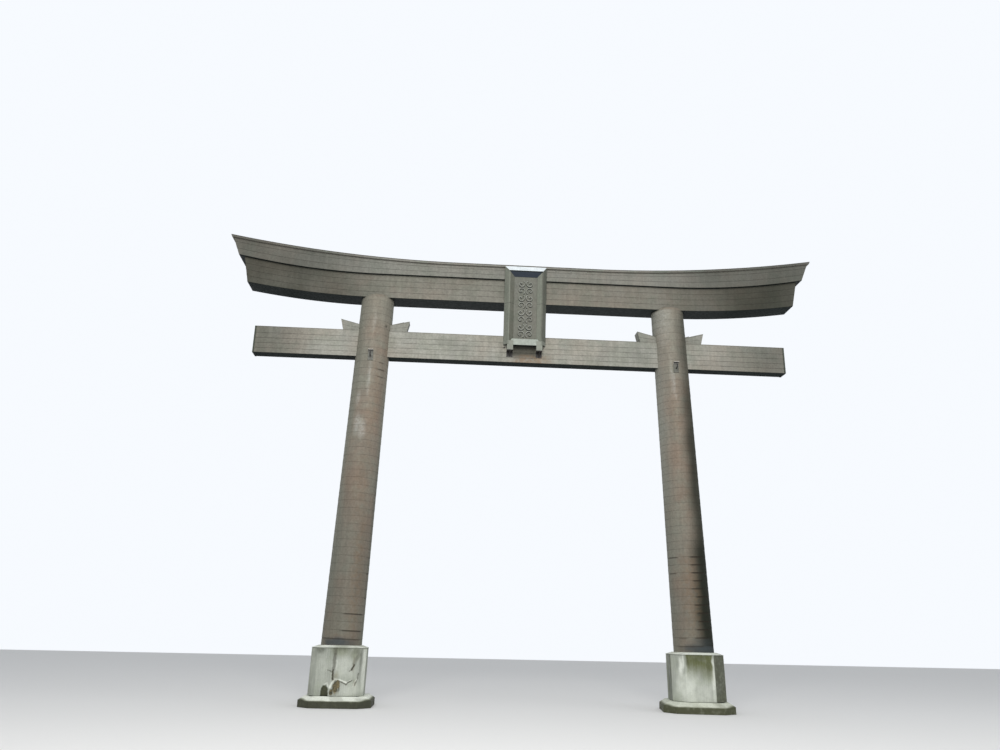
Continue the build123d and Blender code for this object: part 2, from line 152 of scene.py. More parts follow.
def plaster_finish(name, pale, grey, moss):
    """Weathered plaster or concrete: pale where rain washes it, grey in blotches, green with moss."""
    dry_earth, damp_earth = (0.215, 0.172, 0.090), (0.115, 0.100, 0.058)
    washed_lime, green_lime = (0.76, 0.79, 0.71), (0.36, 0.40, 0.30)
    soot, gap = (0.050, 0.052, 0.036), (0.060, 0.056, 0.040)
    look = Finish(name)
    blotch = look.cloud(2.2, 5, 0.36, 0.66)
    colour = look.mix(look.times(blotch, 0.65), pale, grey)
    colour = look.mix(look.cloud(1.0, 4, 0.46, 0.72, 0.0, 0.35, (15, 15, 1.2)), colour, grey)
    colour = look.scale(colour, look.cloud(1.0, 3, 0.32, 0.68, 0.88, 1.10, (46, 46, 2.6)))
    colour = look.mix(look.cloud(3.1, 3, 0.45, 0.65, 0.0, 0.35), colour, green_lime)
    colour = look.stain(colour, "wash", washed_lime, 9, 4, 0.30, 0.55, 0.7, 1)
    colour = look.stain(colour, "moss", moss, 11, 5, 0.25, 0.55, 0.82, 1)
    earth = look.mix(look.cloud(26, 4, 0.38, 0.62), dry_earth, damp_earth)
    colour = look.mix(look.mark("bare"), colour, earth)
    colour = look.stain(colour, "soot", soot, 13, 4, 0.25, 0.6, 0.5, 1)
    colour = look.mix(look.mark("crack"), colour, gap)
    colour = look.scale(colour, look.cloud(120, 3, 0.30, 0.65, 0.86, 1.06))
    grit = look.bump(look.noise(210, 3), 0.0012)
    normal = look.bump(look.noise(24, 5), 0.005, grit)
    return look.done(colour, look.span(blotch, 0, 1, 0.80, 0.93), normal, specular=0.3)


def stack_rings(name, levels, counts):
    """Closed mesh through rings of a square with cut corners, given as (half width, corner, z)."""
    eased = 0.006
    points = []
    for half, corner, z in levels:
        tips = [(half - corner, -half), (half, corner - half)]
        for _ in range(3):
            tips += [(-y, x) for x, y in tips[-2:]]
        for start, end, count in zip(tips[-1:] + tips[:-1], tips, counts):
            start, end = Vector((*start, z)), Vector((*end, z))
            worn = eased / max((end - start).length, 0.02)
            for step in range(count + 1):
                points.append(start.lerp(end, worn + (1 - 2 * worn) * step / count))
    around = sum(counts) + len(counts)
    faces = []
    for level in range(len(levels) - 1):
        for step in range(around):
            a = level * around + step
            b = level * around + (step + 1) % around
            faces.append((a, b, b + around, a + around))
    last = (len(levels) - 1) * around
    faces.append(tuple(reversed(range(around))))
    faces.append(tuple(range(last, last + around)))
    mesh = bpy.data.meshes.new(name)
    mesh.from_pydata(points, [], faces)
    return mesh


def wear_away(mesh, depth):
    """Sinks every point of a mesh along its normal by depth(point), which is never negative."""
    normals = [vertex.normal.copy() for vertex in mesh.vertices]
    for vertex, normal in zip(mesh.vertices, normals):
        vertex.co -= normal * max(0.0, depth(vertex.co))
    mesh.update()


def write_mark(mesh, mark, values):
    """Gives each point of the mesh a number, for its material to read."""
    mesh.attributes.new(mark, "FLOAT", "POINT").data.foreach_set("value", values)


def paint(mesh, **marks):
    """Writes each mark's share(point) on the mesh's points."""
    for mark, share in marks.items():
        write_mark(mesh, mark, [share(vertex.co) for vertex in mesh.vertices])


def stand_under(mesh, side, turn):
    """Moves a footing's mesh from the origin to its place under a pillar, turned by some degrees."""
    place = Matrix.Translation((side * pillar_foot_x, 0, 0))
    mesh.transform(place @ Matrix.Rotation(radians(turn), 4, "Z"))


def hang(mesh, material, replaced=(), smooth=True):
    """Makes the piece from its mesh and sets it on the gate."""
    mesh.materials.clear()
    mesh.materials.append(material)
    mesh.polygons.foreach_set("use_smooth", [smooth] * len(mesh.polygons))
    mesh.set_sharp_from_angle(angle=radians(44))
    piece = bpy.data.objects.new(mesh.name, mesh)
    bpy.context.scene.collection.objects.link(piece)
    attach(piece, "root")
    if replaced:
        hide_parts(*replaced)


def coat(node_names, material):
    """Gives nodes of the CAD model a material."""
    for name in node_names:
        nodes[name].data.materials.clear()
        nodes[name].data.materials.append(material)


def between(value, low, high):
    """Smooth share of the way from low to high."""
    share = min(1.0, max(0.0, (value - low) / (high - low)))
    return share * share * (3 - 2 * share)


slab_finish = plaster_finish(
    "slab_concrete", pale=(0.55, 0.57, 0.46), grey=(0.38, 0.40, 0.31), moss=(0.075, 0.080, 0.045)
)
bevel_foot = slab_high.z - SLAB_BEVEL_HEIGHT
for name, side in sides.items():
    own = Vector((side * 7, 0, 0))

    def slab_wear(p):
        edge = min(abs(p.z - bevel_foot), abs(p.z - slab_high.z))
        chip = between(noise.noise(p * 8 + own), 0.10, 0.50) * between(edge, 0.045, 0.0)
        wavy = SLAB_WAVE * (1 + noise.noise(p * 3 + own)) + SLAB_PITS * (1 + noise.noise(p * 18 + own))
        return wavy + SLAB_CHIP_DEPTH * chip

    def moss_line(p):
        """Level that the moss has reached, higher round the cut corners."""
        return bevel_foot + 0.028 * between(p.y, -slab_half + 0.02, -slab_half + SLAB_CORNER)

    def slab_moss(p):
        low = between(p.z, moss_line(p) + 0.010, moss_line(p) - 0.020)
        return max(low, 0.3 * between(noise.noise(p * 4 + own), 0.20, 0.50))

    # Dirt and painted shade on the sides just below the bevel.
    def slab_side_dirt_and_shade(p):
        return (0.51 - 0.39 * side) * between(p.z, moss_line(p) + 0.008, moss_line(p) - 0.025)

    # The bevel, pale from rain wash and painted paler for the sky light on it.
    def slab_wash_and_sky_light(p):
        patchy = 0.12 * between(noise.noise(p * 5 + own), 0.1, 0.4)
        return (0.71 - 0.29 * side - patchy) * between(p.z, moss_line(p) - 0.005, moss_line(p) + 0.015)

    rings = range(SLAB_SIDE_RINGS + 1)
    levels = [(slab_half, SLAB_CORNER, bevel_foot * k / SLAB_SIDE_RINGS) for k in rings]
    for k in range(1, SLAB_BEVEL_RINGS + 1):
        inset = SLAB_BEVEL_WIDTH * k / SLAB_BEVEL_RINGS
        rise = SLAB_BEVEL_HEIGHT * k / SLAB_BEVEL_RINGS
        levels.append((slab_half - inset, SLAB_CORNER - inset / 2, bevel_foot + rise))
    for inset in (0.02, 0.05):
        ledge = slab_half - SLAB_BEVEL_WIDTH - inset
        levels.append((ledge, SLAB_CORNER - SLAB_BEVEL_WIDTH / 2, slab_high.z))
    mesh = stack_rings(f"slab_concrete_{name}", levels, SLAB_STEPS)
    paint(mesh, moss=slab_moss, soot=slab_side_dirt_and_shade, wash=slab_wash_and_sky_light)
    wear_away(mesh, slab_wear)
    stand_under(mesh, side, SLAB_TURN[name])
    hang(mesh, slab_finish, [f"base_slab_{name}"])

# Plinths. Each is a block of masonry rendered in lime plaster, with a mortar cap that slopes up to
# the pillar's foot and stands out a little over the face. The left one has cracked and lost a patch
# of plaster, and the right one is streaked green below the cap.
plinth_low, plinth_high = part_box("plinth_left")
collar_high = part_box("plinth_collar_left")[1]
PLINTH_HALF = 0.5235
PLINTH_CORNER = {"left": 0.135, "right": 0.240}
PLINTH_TURN = {"left": 3.0, "right": -6.0}
PLINTH_LEAN = 0.018
CAP_EDGE = 0.010
CAP_STEP = 0.006
CAP_TOP_HALF = 0.407
PLASTER_THICKNESS = 0.014
CRACK_DEPTH = 0.009
HOLLOW_DEPTH = 0.030
CAP_GROOVE = 0.003
CHIP_DEPTH = 0.006
PLINTH_STEPS = [100, 26, 34, 14, 40, 14, 34, 26]
PLINTH_RINGS = 110
CAP_RINGS = 8
plinth_foot = plinth_low.z

# Cracks in the left plinth as (path, half width, how dark). A path runs through points given as
# (across from the middle of the front, up from the plinth's foot).
LEFT_CRACKS = [
    ([(-0.060, 0.84), (-0.064, 0.76), (-0.066, 0.70)], 0.038, 0.35),
    ([(-0.064, 0.74), (-0.068, 0.64), (-0.064, 0.55), (-0.070, 0.46)], 0.034, 0.62),
    ([(-0.072, 0.46), (-0.080, 0.42), (-0.074, 0.36), (-0.066, 0.29)], 0.020, 1.0),
    ([(-0.180, 0.455), (-0.120, 0.435), (-0.078, 0.405)], 0.013, 0.55),
    ([(0.052, 0.262), (0.120, 0.235), (0.186, 0.200), (0.212, 0.230), (0.285, 0.275)], 0.013, 0.80),
    ([(0.388, 0.74), (0.335, 0.65), (0.302, 0.56)], 0.040, 0.36),
    ([(0.302, 0.55), (0.290, 0.51), (0.262, 0.462)], 0.019, 1.0),
    ([(0.262, 0.462), (0.228, 0.438)], 0.016, 0.45),
    ([(0.404, 0.40), (0.398, 0.31), (0.372, 0.265), (0.342, 0.19)], 0.013, 0.62),
]
PATCH_RIM = [(-0.110, 0.15), (-0.075, 0.23), (-0.030, 0.30), (0.055, 0.285), (0.130, 0.255), (0.190, 0.235)]
LEFT_RIMS = [
    (PATCH_RIM, 0.020, 0.9),
    ([(0.190, 0.235), (0.270, 0.285)], 0.014, 0.6),
    ([(0.322, 0.18), (0.350, 0.25), (0.385, 0.30)], 0.018, 0.7),
    ([(-0.015, 0.62), (-0.015, 0.50), (-0.025, 0.40)], 0.026, 0.4),
    ([(-0.215, 0.20), (-0.165, 0.23), (-0.130, 0.16)], 0.016, 0.4),
]

# Patches as (across, up, half width, half height, strength)
LEFT_BARE = [
    (0.030, 0.200, 0.050, 0.075, 1.0),
    (-0.010, 0.150, 0.050, 0.105, 1.0),
    (-0.080, 0.060, 0.032, 0.050, 1.0),
]
LEFT_EARTH = [
    (-0.050, 0.31, 0.045, 0.10, 0.40),
    (-0.010, 0.35, 0.045, 0.09, 0.35),
    (0.295, 0.56, 0.022, 0.12, 0.40),
    (0.340, 0.23, 0.030, 0.07, 0.30),
    (0.00, 0.055, 0.06, 0.035, 0.35),
]
HOLLOW_X = -0.203
HOLLOW_HALF = 0.068
HOLLOW_TOP = 0.185
LEFT_SOOT = [
    (-0.345, 0.820, 0.080, 0.070, 0.60),
    (-0.012, 0.215, 0.026, 0.055, 1.0),
    (-0.045, 0.140, 0.028, 0.070, 1.0),
    (-0.075, 0.055, 0.026, 0.045, 1.0),
    (0.024, 0.098, 0.036, 0.030, 0.75),
    (0.066, 0.125, 0.014, 0.045, 0.85),
    (0.430, 0.68, 0.030, 0.24, 0.45),
    (-0.07, 0.82, 0.05, 0.08, 0.35),
    (0.05, 0.85, 0.22, 0.05, 0.35),
    (0.33, 0.80, 0.08, 0.06, 0.40),
    (-0.50, 0.10, 0.04, 0.16, 0.25),
]
LEFT_GREEN = [
    (0.06, 0.82, 0.20, 0.13, 0.50),
    (-0.52, 0.45, 0.16, 0.6, 0.10),
    (0.30, 0.76, 0.10, 0.14, 0.45),
]
LEFT_WASH = [
    (0.12, 0.52, 0.20, 0.24, 0.35),
    (-0.32, 0.42, 0.18, 0.30, 0.14),
    (0.49, 0.45, 0.04, 0.45, 0.60),
    (0.28, 0.12, 0.25, 0.12, 0.35),
]
RIGHT_SOOT = [
    (0.170, 0.66, 0.050, 0.20, 0.25),
    (-0.235, 0.76, 0.040, 0.12, 0.35),
    (0.00, 0.84, 0.25, 0.12, 0.35),
]
RIGHT_WASH = [
    (-0.26, 0.20, 0.20, 0.34, 0.68),
    (-0.02, 0.16, 0.26, 0.20, 0.38),
    (-0.355, 0.62, 0.035, 0.20, 1.0),
    (-0.315, 0.70, 0.020, 0.18, 0.8),
    (0.245, 0.45, 0.035, 0.42, 0.7),
]


def off_path(x, z, path):
    """Distance from a point to a path of straight runs."""
    nearest = 9.0
    for (ax, az), (bx, bz) in zip(path, path[1:]):
        run = (bx - ax) ** 2 + (bz - az) ** 2
        share = min(1.0, max(0.0, ((x - ax) * (bx - ax) + (z - az) * (bz - az)) / run))
        nearest = min(nearest, hypot(x - ax - share * (bx - ax), z - az - share * (bz - az)))
    return nearest


def along_paths(p, paths):
    """How strongly a point lies on one of the paths, with a little wander in them."""
    x = p.x + 0.009 * noise.noise(p * 24)
    z = p.z - plinth_foot + 0.009 * noise.noise(p * 21 + Vector((5, 0, 0)))
    return max(dark * between(off_path(x, z, path), 1.3 * half, 0.35 * half) for path, half, dark in paths)


def in_patches(p, patches, broken=False):
    """How strongly a point lies in a patch. Stains fade out slowly, and broken edges are ragged."""
    ragged, outer, inner = 0.30 * noise.noise(p * 9), 1.5, 0.3
    if broken:
        ragged, outer, inner = 0.22 * noise.noise(p * 19) + 0.12 * noise.noise(p * 47), 1.15, 0.80
    found = 0.0
    for x, z, width, height, strength in patches:
        away = hypot((p.x - x) / width, (p.z - plinth_foot - z) / height) + ragged
        found = max(found, strength * between(away, outer, inner))
    return found


def in_hollow(p):
    """How far a point lies in the round-headed hole at the foot of the left plinth."""
    across = abs(p.x - HOLLOW_X) / HOLLOW_HALF
    up = max(0.0, p.z - plinth_foot) / HOLLOW_TOP
    away = (across**3 + up**3) ** (1 / 3) + 0.12 * noise.noise(p * 23)
    return between(away, 1.06, 0.84)


def right_runs(p):
    """Green that has run down from under the cap in soft streaks."""
    up = p.z - plinth_foot
    across = between(abs(p.x + 0.008) + 0.02 * noise.noise(p * 8), 0.270, 0.225)
    streak = 1.0 + 0.30 * noise.noise(Vector((p.x * 24, 0, up * 1.5)))
    longer = 0.12 * noise.noise(Vector((p.x * 8, 0, 3))) + 0.10 * between(p.x, 0.08, 0.16)
    return min(1.0, across * streak * between(up + longer, 0.34, 0.76))


def cap_shade(p):
    """Painted shade in the groove under the cap's lip."""
    return 0.4 * between(abs(p.z - plinth_high.z + 0.002), 0.010, 0.004)


# The cap's slope, pale from rain wash and painted paler for the sky light on it.
def cap_wash_and_sky_light(p):
    return between(p.z, plinth_high.z + 0.002, plinth_high.z + 0.010)


def plain_marks(p):
    """Marks of the sides and back: soft green, the cap's painted shade, and its wash and painted light."""
    green = 0.45 * between(noise.noise(Vector((p.x * 5, p.y * 5, p.z * 1.5))), -0.25, 0.45)
    return {"crack": 0.0, "bare": 0.0, "moss": green, "soot": cap_shade(p), "wash": cap_wash_and_sky_light(p)}


def left_marks(p, on_front):
    marks = plain_marks(p)
    if not on_front:
        return marks
    bare = in_patches(p, LEFT_BARE, broken=True)
    hollow = in_hollow(p)
    off_cap = 1 - cap_wash_and_sky_light(p)
    marks["crack"] = along_paths(p, LEFT_CRACKS) * off_cap
    marks["bare"] = max(bare, in_patches(p, LEFT_EARTH))
    marks["moss"] = max(hollow, in_patches(p, LEFT_GREEN))
    marks["soot"] = max(in_patches(p, LEFT_SOOT), cap_shade(p), 0.9 * hollow) * off_cap
    marks["wash"] = max(cap_wash_and_sky_light(p), along_paths(p, LEFT_RIMS) * (1 - bare), in_patches(p, LEFT_WASH))
    return marks


def right_marks(p, on_front):
    marks = plain_marks(p)
    if not on_front:
        left_side = between(p.x, -0.500, -0.515) * between(p.y, 0.14, 0.02)
        marks["soot"] = max(marks["soot"], 0.45 * between(p.x, 0.3, 0.5), 0.50 * left_side)
        return marks
    facet = PLINTH_HALF - PLINTH_CORNER["right"]
    on_facet = between(p.x, facet - 0.002, facet + 0.004)
    off_cap = 1 - cap_wash_and_sky_light(p)
    marks["moss"] = max(right_runs(p), on_facet * (0.50 + 0.2 * noise.noise(p * 5))) * off_cap
    marks["soot"] = max(in_patches(p, RIGHT_SOOT), 0.68 * on_facet, cap_shade(p)) * off_cap
    marks["wash"] = max(cap_wash_and_sky_light(p), in_patches(p, RIGHT_WASH) * (1 - on_facet))
    return marks


marks_of = {"left": left_marks, "right": right_marks}
plinth_finish = plaster_finish(
    "plinth_plaster", pale=(0.40, 0.42, 0.37), grey=(0.265, 0.285, 0.245), moss=(0.118, 0.130, 0.056)
)
height = plinth_high.z - plinth_foot
cap_foot = plinth_high.z + CAP_EDGE
for name, side in sides.items():
    corner = PLINTH_CORNER[name]
    steps = range(PLINTH_RINGS + 1)
    wall = [(PLINTH_HALF, plinth_foot + (height - 0.006) * k / PLINTH_RINGS) for k in steps]
    groove = [(PLINTH_HALF - CAP_GROOVE, plinth_high.z - 0.004), (PLINTH_HALF - CAP_GROOVE, plinth_high.z)]
    cap = [(PLINTH_HALF + CAP_STEP, plinth_high.z + 0.001), (PLINTH_HALF + CAP_STEP, cap_foot)]
    for k in range(1, CAP_RINGS + 1):
        half = PLINTH_HALF + (CAP_TOP_HALF - PLINTH_HALF) * k / CAP_RINGS
        cap.append((half, cap_foot + (collar_high.z - plinth_high.z - CAP_EDGE) * k / CAP_RINGS))
    cap += [(CAP_TOP_HALF - 0.03, collar_high.z - 0.002), (CAP_TOP_HALF - 0.08, collar_high.z - 0.004)]
    levels = [(half, corner, z) for half, z in wall + groove + cap]
    mesh = stack_rings(f"plinth_plaster_{name}", levels, PLINTH_STEPS)
    front_y = corner - PLINTH_HALF + 0.003
    painted = [marks_of[name](vertex.co, vertex.co.y < front_y) for vertex in mesh.vertices]
    for mark in painted[0]:
        write_mark(mesh, mark, [marks[mark] for marks in painted])
    own = Vector((side * 7, 0, 0))
    normals = [vertex.normal.copy() for vertex in mesh.vertices]
    for vertex, normal, marks in zip(mesh.vertices, normals, painted):
        p = vertex.co
        lost = CRACK_DEPTH * marks["crack"] + PLASTER_THICKNESS * marks["bare"]
        trowelled = 0.003 * (1 + noise.noise(p * 3 + own)) + 0.001 * (1 + noise.noise(p * 28 + own))
        chip = between(noise.noise(p * 12 + own), 0.2, 0.5) * between(abs(p.z - cap_foot), 0.02, 0.0)
        hollow = in_hollow(p) if name == "left" and p.y < front_y else 0.0
        lean = PLINTH_LEAN * max(0.0, plinth_high.z - p.z) / height
        vertex.co -= normal * (trowelled + lost + CHIP_DEPTH * chip + HOLLOW_DEPTH * hollow)
        vertex.co.x += side * lean
    mesh.update()
    stand_under(mesh, side, PLINTH_TURN[name])
    hang(mesh, plinth_finish, [f"plinth_{name}", f"plinth_collar_{name}"])

# Pillars. Each is a tapered timber shaft wrapped in courses of thin copper sheet, nailed along the
# hidden top edge and folded at the bottom one over the course below. Near the feet some seams have
# sprung open. The lower lintel is let into the rounded head, which is dressed in one piece.
PILLAR_LEAN = 0.238
PILLAR_HEAD_RADIUS = 0.3535
PILLAR_SHOULDER = 0.022
PILLAR_COURSE = 0.1565
PILLAR_LAP = 0.0024
FIRST_COURSE = 0.015
SHEETS_ROUND = 5.5
SHEET_LAP = 0.0036
SHEET_SIDE_LAP = 0.0003
SHEET_BASE = 0.0006
FOLD = 0.0016
SIDE_TUCK = 0.008
TOP_TUCK = 0.010
DENT = 0.0022
SPRING_LIFT = 0.005

pillar_low, pillar_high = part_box("pillar_right")
tie_low, tie_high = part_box("tie_beam")
lower_low, lower_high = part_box("lower_lintel")
wedge_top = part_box("wedge_right_outer")[1].z

# Sprung seams as (course, first degree, last degree, how black), with 0 at the front and the right
# positive
SPRUNG = {
    "left": [
        (1, -78, 75, 0.50), (2, -4, 72, 0.75), (4, -2, 74, 0.75), (6, 66, 88, 0.5), (9, 66, 88, 0.7),
        (11, 70, 88, 0.6), (35, 28, 56, 0.5), (36, 24, 60, 0.6), (37, 30, 52, 0.5),
    ],
    "right": [
        (1, -70, 20, 0.45), (2, -60, -30, 0.4), (2, -12, 36, 0.6), (3, -5, 42, 0.75), (4, 3, 56, 0.85),
        (5, 1, 48, 0.7), (6, -6, 47, 0.8), (7, 2, 55, 0.85), (8, -12, 34, 0.7), (9, -5, 32, 0.75),
        (10, -85, -50, 0.5), (10, -8, 42, 0.85), (11, -8, 38, 0.75), (12, -88, -40, 0.6), (12, -8, 42, 0.85),
    ],
}


class Skin:
    """Sheets of one piece, gathered into one mesh."""

    def __init__(self, seed):
        self.points = []
        self.faces = []
        self.sheet = []
        self.marks = {"tone": [], "sprung": []}
        self.dice = Random(seed)

    def lay(self, place, u_span, v_span, segments, lap=SHEET_LAP, sprung=None):
        """One sheet over place(u, v), which gives a point of the surface and its normal."""
        (u0, u1), (v0, v1) = u_span, v_span
        corner = place(u0, v0)[0]
        width = (place(u1, v0)[0] - corner).length
        height = (place(u0, v1)[0] - corner).length
        tone = self.dice.uniform(0.5, 1.0)
        shift = Vector((self.dice.uniform(-50, 50), 0, 0))
        columns = [(0.0, 0.0), (0.0, 1.0)]
        columns += [(k / segments, 1.0) for k in range(1, segments)]
        columns.append((1 + SIDE_TUCK / width, 1.0))
        edge = TOP_TUCK / height
        rows = [(2 * FOLD / height, 0.0), (-FOLD / height, 0.5), (0.0, 1.0), (edge, 1.0)]
        rows += [(0.36, 1.0), (0.70, 1.0), (1 - edge, 1.0), (1 + edge, 1.0)]
        first = len(self.points)
        for t, fold in rows:
            for s, lead in columns:
                u = u0 + (u1 - u0) * s
                v = v0 + (v1 - v0) * t
                point, normal = place(u, v)
                swell = sin(pi * min(1.0, s)) * sin(pi * min(1.0, max(0.0, t)))
                high = lead * fold * (lap * (1 - t) + SHEET_SIDE_LAP * (1 - s))
                high += DENT * swell * (0.4 + noise.noise(point * 4.0 + shift))
                if sprung:
                    high += SPRING_LIFT * sprung(u, v0) * exp(-max(0.0, t) / 0.22)
                self.points.append(point + normal * (SHEET_BASE + max(0.0, high)))
                self.sheet.append((s * width, t * height, (1 - t) * height))
                self.marks["tone"].append(tone)
                self.marks["sprung"].append(sprung(u, v1) if sprung else 0.0)
        across = len(columns)
        for row in range(len(rows) - 1):
            for column in range(across - 1):
                a = first + row * across + column
                self.faces.append((a, a + 1, a + 1 + across, a + across))

    def course(self, place, u_span, v_span, sheet_length, segments, **more):
        """One course of sheets of about one length, with its joints shifted by chance."""
        u, end = u_span
        cut = u + sheet_length * self.dice.uniform(0.3, 1.0)
        while u < end - 1e-6:
            if end - cut < sheet_length * 0.25:
                cut = end
            self.lay(place, (u, cut), v_span, segments, **more)
            u, cut = cut, min(end, cut + sheet_length * self.dice.uniform(0.97, 1.03))

    def block(self, points, faces):
        """A solid bit with no sheets of its own."""
        first = len(self.points)
        self.points += points
        self.faces += [tuple(first + k for k in face) for face in faces]
        self.sheet += [(9.0, 9.0, 9.0)] * len(points)
        self.marks["tone"] += [0.75] * len(points)
        self.marks["sprung"] += [0.0] * len(points)

    def mesh(self, name, hidden=None):
        """The sheets as one mesh, without the faces that lie wholly inside other timber."""
        faces = self.faces
        if hidden:
            inside = [hidden(p) for p in self.points]
            faces = [face for face in faces if not all(inside[k] for k in face)]
        made = bpy.data.meshes.new(name)
        made.from_pydata(self.points, [], faces)
        flat = [value for triple in self.sheet for value in triple]
        made.attributes.new("sheet", "FLOAT_VECTOR", "POINT").data.foreach_set("vector", flat)
        for mark, values in self.marks.items():
            write_mark(made, mark, values)
        made.validate()
        return made


def copper_finish(name, brown, grey, green, line=0.4, metal=0.2, under=(0.017, 0.022, 0.021), more=None):
    """Old copper sheet: brown, grey and green in soft blotches, dirt in the seams, and the under colour on
    undersides as painted shade.
    """
    lime, zinc, rust = (0.50, 0.51, 0.48), (0.064, 0.075, 0.079), (0.20, 0.125, 0.070)
    seam_dirt, gap = (0.055, 0.045, 0.038), (0.032, 0.026, 0.020)
    look = Finish(name)
    colour = look.mix(look.cloud(0.9, 4, 0.36, 0.62), brown, grey)
    veil = look.cloud(2.4, 5, 0.42, 0.68, 0.0, 0.55)
    colour = look.mix(look.math("MAXIMUM", veil, look.times(look.mark("green"), 0.75)), colour, green)
    streak = look.cloud(1.0, 4, 0.30, 0.70, 0.93, 1.06, (12, 12, 0.6))
    mottle = look.cloud(26, 5, 0.28, 0.72, 0.90, 1.09)
    tone = look.span(look.mark("tone"), 0.5, 1.0, 0.975, 1.03)
    colour = look.scale(colour, look.times(look.times(streak, mottle), tone))
    if more:
        colour = more(look, colour)
    colour = look.stain(colour, "lime", lime, 22, 4, 0.35, 0.62, 0.36, 0.8)
    colour = look.mix(look.times(look.mark("zinc"), 0.9), colour, zinc)
    colour = look.stain(colour, "rust", rust, 12, 4, 0.35, 0.6, 0.1875, 0.75)
    place = look.add("Attribute", attribute_name="sheet").outputs["Vector"]
    parts = look.add("SeparateXYZ", {0: place}).outputs
    end_joint = look.span(parts[1], 0.010, 0.004, 0.0, 0.3)
    seam = look.math("MAXIMUM", look.span(parts[2], 0.012, 0.004), end_joint)
    on_sheet = look.times(look.span(look.mark("tone"), 0.0, 0.4), line)
    dirt = look.times(look.times(seam, look.cloud(5, 3, 0.30, 0.62, 0.45, 1.0)), on_sheet)
    colour = look.mix(dirt, colour, seam_dirt)
    colour = look.mix(look.times(look.mark("sprung"), look.span(parts[2], 0.036, 0.014)), colour, gap)
    # Faces that look down take the under colour: painted shade.
    colour = look.mix(look.span(look.facing_up(), -0.25, -0.75), colour, under)
    normal = look.bump(look.noise(7, 3), 0.0022, look.bump(look.noise(70, 3), 0.0005))
    gloss = look.span(look.mark("soot"), 0.1, 0.8, 0.20, 0.03)
    roughness = look.cloud(18, 3, 0.3, 0.7, 0.60, 0.76)
    return look.done(colour, roughness, normal, metallic=metal, specular=gloss)


def pillar_axis_x(z):
    """Distance of a pillar's axis from the middle of the gate at a level."""
    return pillar_foot_x - PILLAR_LEAN * (z - pillar_low.z) / (lower_low.z - pillar_low.z)


def pillar_place(side):
    """Surface of the leaning, tapered pillar, by angle round it and distance up its axis."""
    foot = Vector((side * pillar_foot_x, 0, pillar_low.z))
    head = Vector((side * pillar_axis_x(lower_low.z), 0, lower_low.z))
    axis = (head - foot).normalized()
    along = Vector((axis.z, 0, -axis.x))
    foot_radius = pillar_high.y
    taper = (foot_radius - PILLAR_HEAD_RADIUS) / (head - foot).length

    def place(angle, up):
        outward = along * sin(angle) - Vector((0, cos(angle), 0))
        return foot + axis * up + outward * (foot_radius - taper * up), outward

    return place


def sprung_by_course(seams):
    def strength(angle, up):
        course = round((up - FIRST_COURSE) / PILLAR_COURSE)
        found = 0.0
        for seam, start, end, black in seams:
            if seam == course:
                middle, half = radians(start + end) / 2, radians(end - start) / 2
                away = abs((angle - middle + pi) % (2 * pi) - pi) / half
                found = max(found, black * between(away, 1.1, 0.65))
        return found

    return strength


def in_tie(p):
    return abs(p.y) < tie_high.y - 0.03 and tie_low.z + 0.01 < p.z < wedge_top - 0.10


# Marks on the pillars as (degree, height, half width in degrees, half height, strength)
PILLAR_MARKS = {
    "left": {
        "lime": [
            (-20, 5.48, 13, 0.22, 0.50),
            (-2, 5.36, 12, 0.20, 0.40),
            (3, 6.50, 4, 0.42, 0.45),
            (-28, 6.02, 9, 0.16, 0.35),
            (2, 7.75, 5, 0.25, 0.25),
        ],
        "zinc": [(-4, 1.16, 50, 0.095, 1.0)],
        # Of this soot, the wide low band is partly grime and partly painted shade.
        "soot": [(45, 7.68, 4, 0.03, 0.9), (78, 3.0, 14, 2.6, 0.35), (0, 0.8, 400, 4.2, 0.22)],
        "rust": [(25, 6.1, 22, 1.2, 0.30), (30, 2.4, 20, 1.3, 0.35), (12, 4.2, 24, 0.8, 0.25)],
    },
    "right": {
        "lime": [
            (-9, 6.58, 4, 0.36, 0.60),
            (-16, 6.75, 5, 0.5, 0.25),
            # The next two wide pale patches on the left side are painted light.
            (-50, 8.3, 45, 0.8, 0.34),
            (-82, 6.4, 45, 2.4, 0.22),
        ],
        "zinc": [(14, 1.16, 64, 0.095, 1.0), (12, 1.30, 42, 0.07, 0.45)],
        # The soot down the right side and the wide low band are partly grime and partly painted shade.
        "soot": [
            (51, 1.9, 60, 2.8, 1.0),
            (59, 4.7, 56, 2.6, 0.86),
            (62, 7.2, 48, 1.8, 0.55),
            (30, 1.15, 64, 0.10, 0.85),
            (0, 0.8, 400, 4.6, 0.12),
        ],
        "rust": [(-12, 2.2, 30, 0.9, 0.40), (-8, 4.4, 24, 0.9, 0.15), (-10, 6.0, 20, 0.8, 0.2)],
    },
}
GREEN_FROM = {"left": 14, "right": -6}


def degree_round(side, p):
    """Place round the pillar, with 0 at the front and the right positive."""
    return atan2(p.x - side * pillar_axis_x(p.z), -p.y) * 180 / pi


def pillar_mark(side, patches):
    def share(p):
        degree = degree_round(side, p)
        ragged = 0.3 * noise.noise(p * 6)
        soft = 0.14 * noise.noise(p * 2.5)
        found = 0.0
        for middle, height, wide, tall, strength in patches:
            away = hypot((degree - middle) / wide, (p.z - height) / tall) + (soft if tall > 1 else ragged)
            found = max(found, strength * between(away, 1.35, 0.4))
        return found

    return share


def pillar_green(side, middle):
    """The sides turn greener than the brown strip that faces the weather."""

    def share(p):
        wander = 22 * noise.noise(Vector((p.x * 2, p.y * 2, p.z * 0.8)))
        high = between(p.z, 7.0, 8.3)
        return max(0.9 * between(abs(degree_round(side, p) - middle) + wander, 28, 74), 0.45 * high)

    return share


# Darkens where the soot mark is painted, which stands for soot and in places for painted shade.
def darken_by_soot_and_shade(look, colour):
    return look.mix(look.mark("soot"), colour, (0.026, 0.028, 0.021))


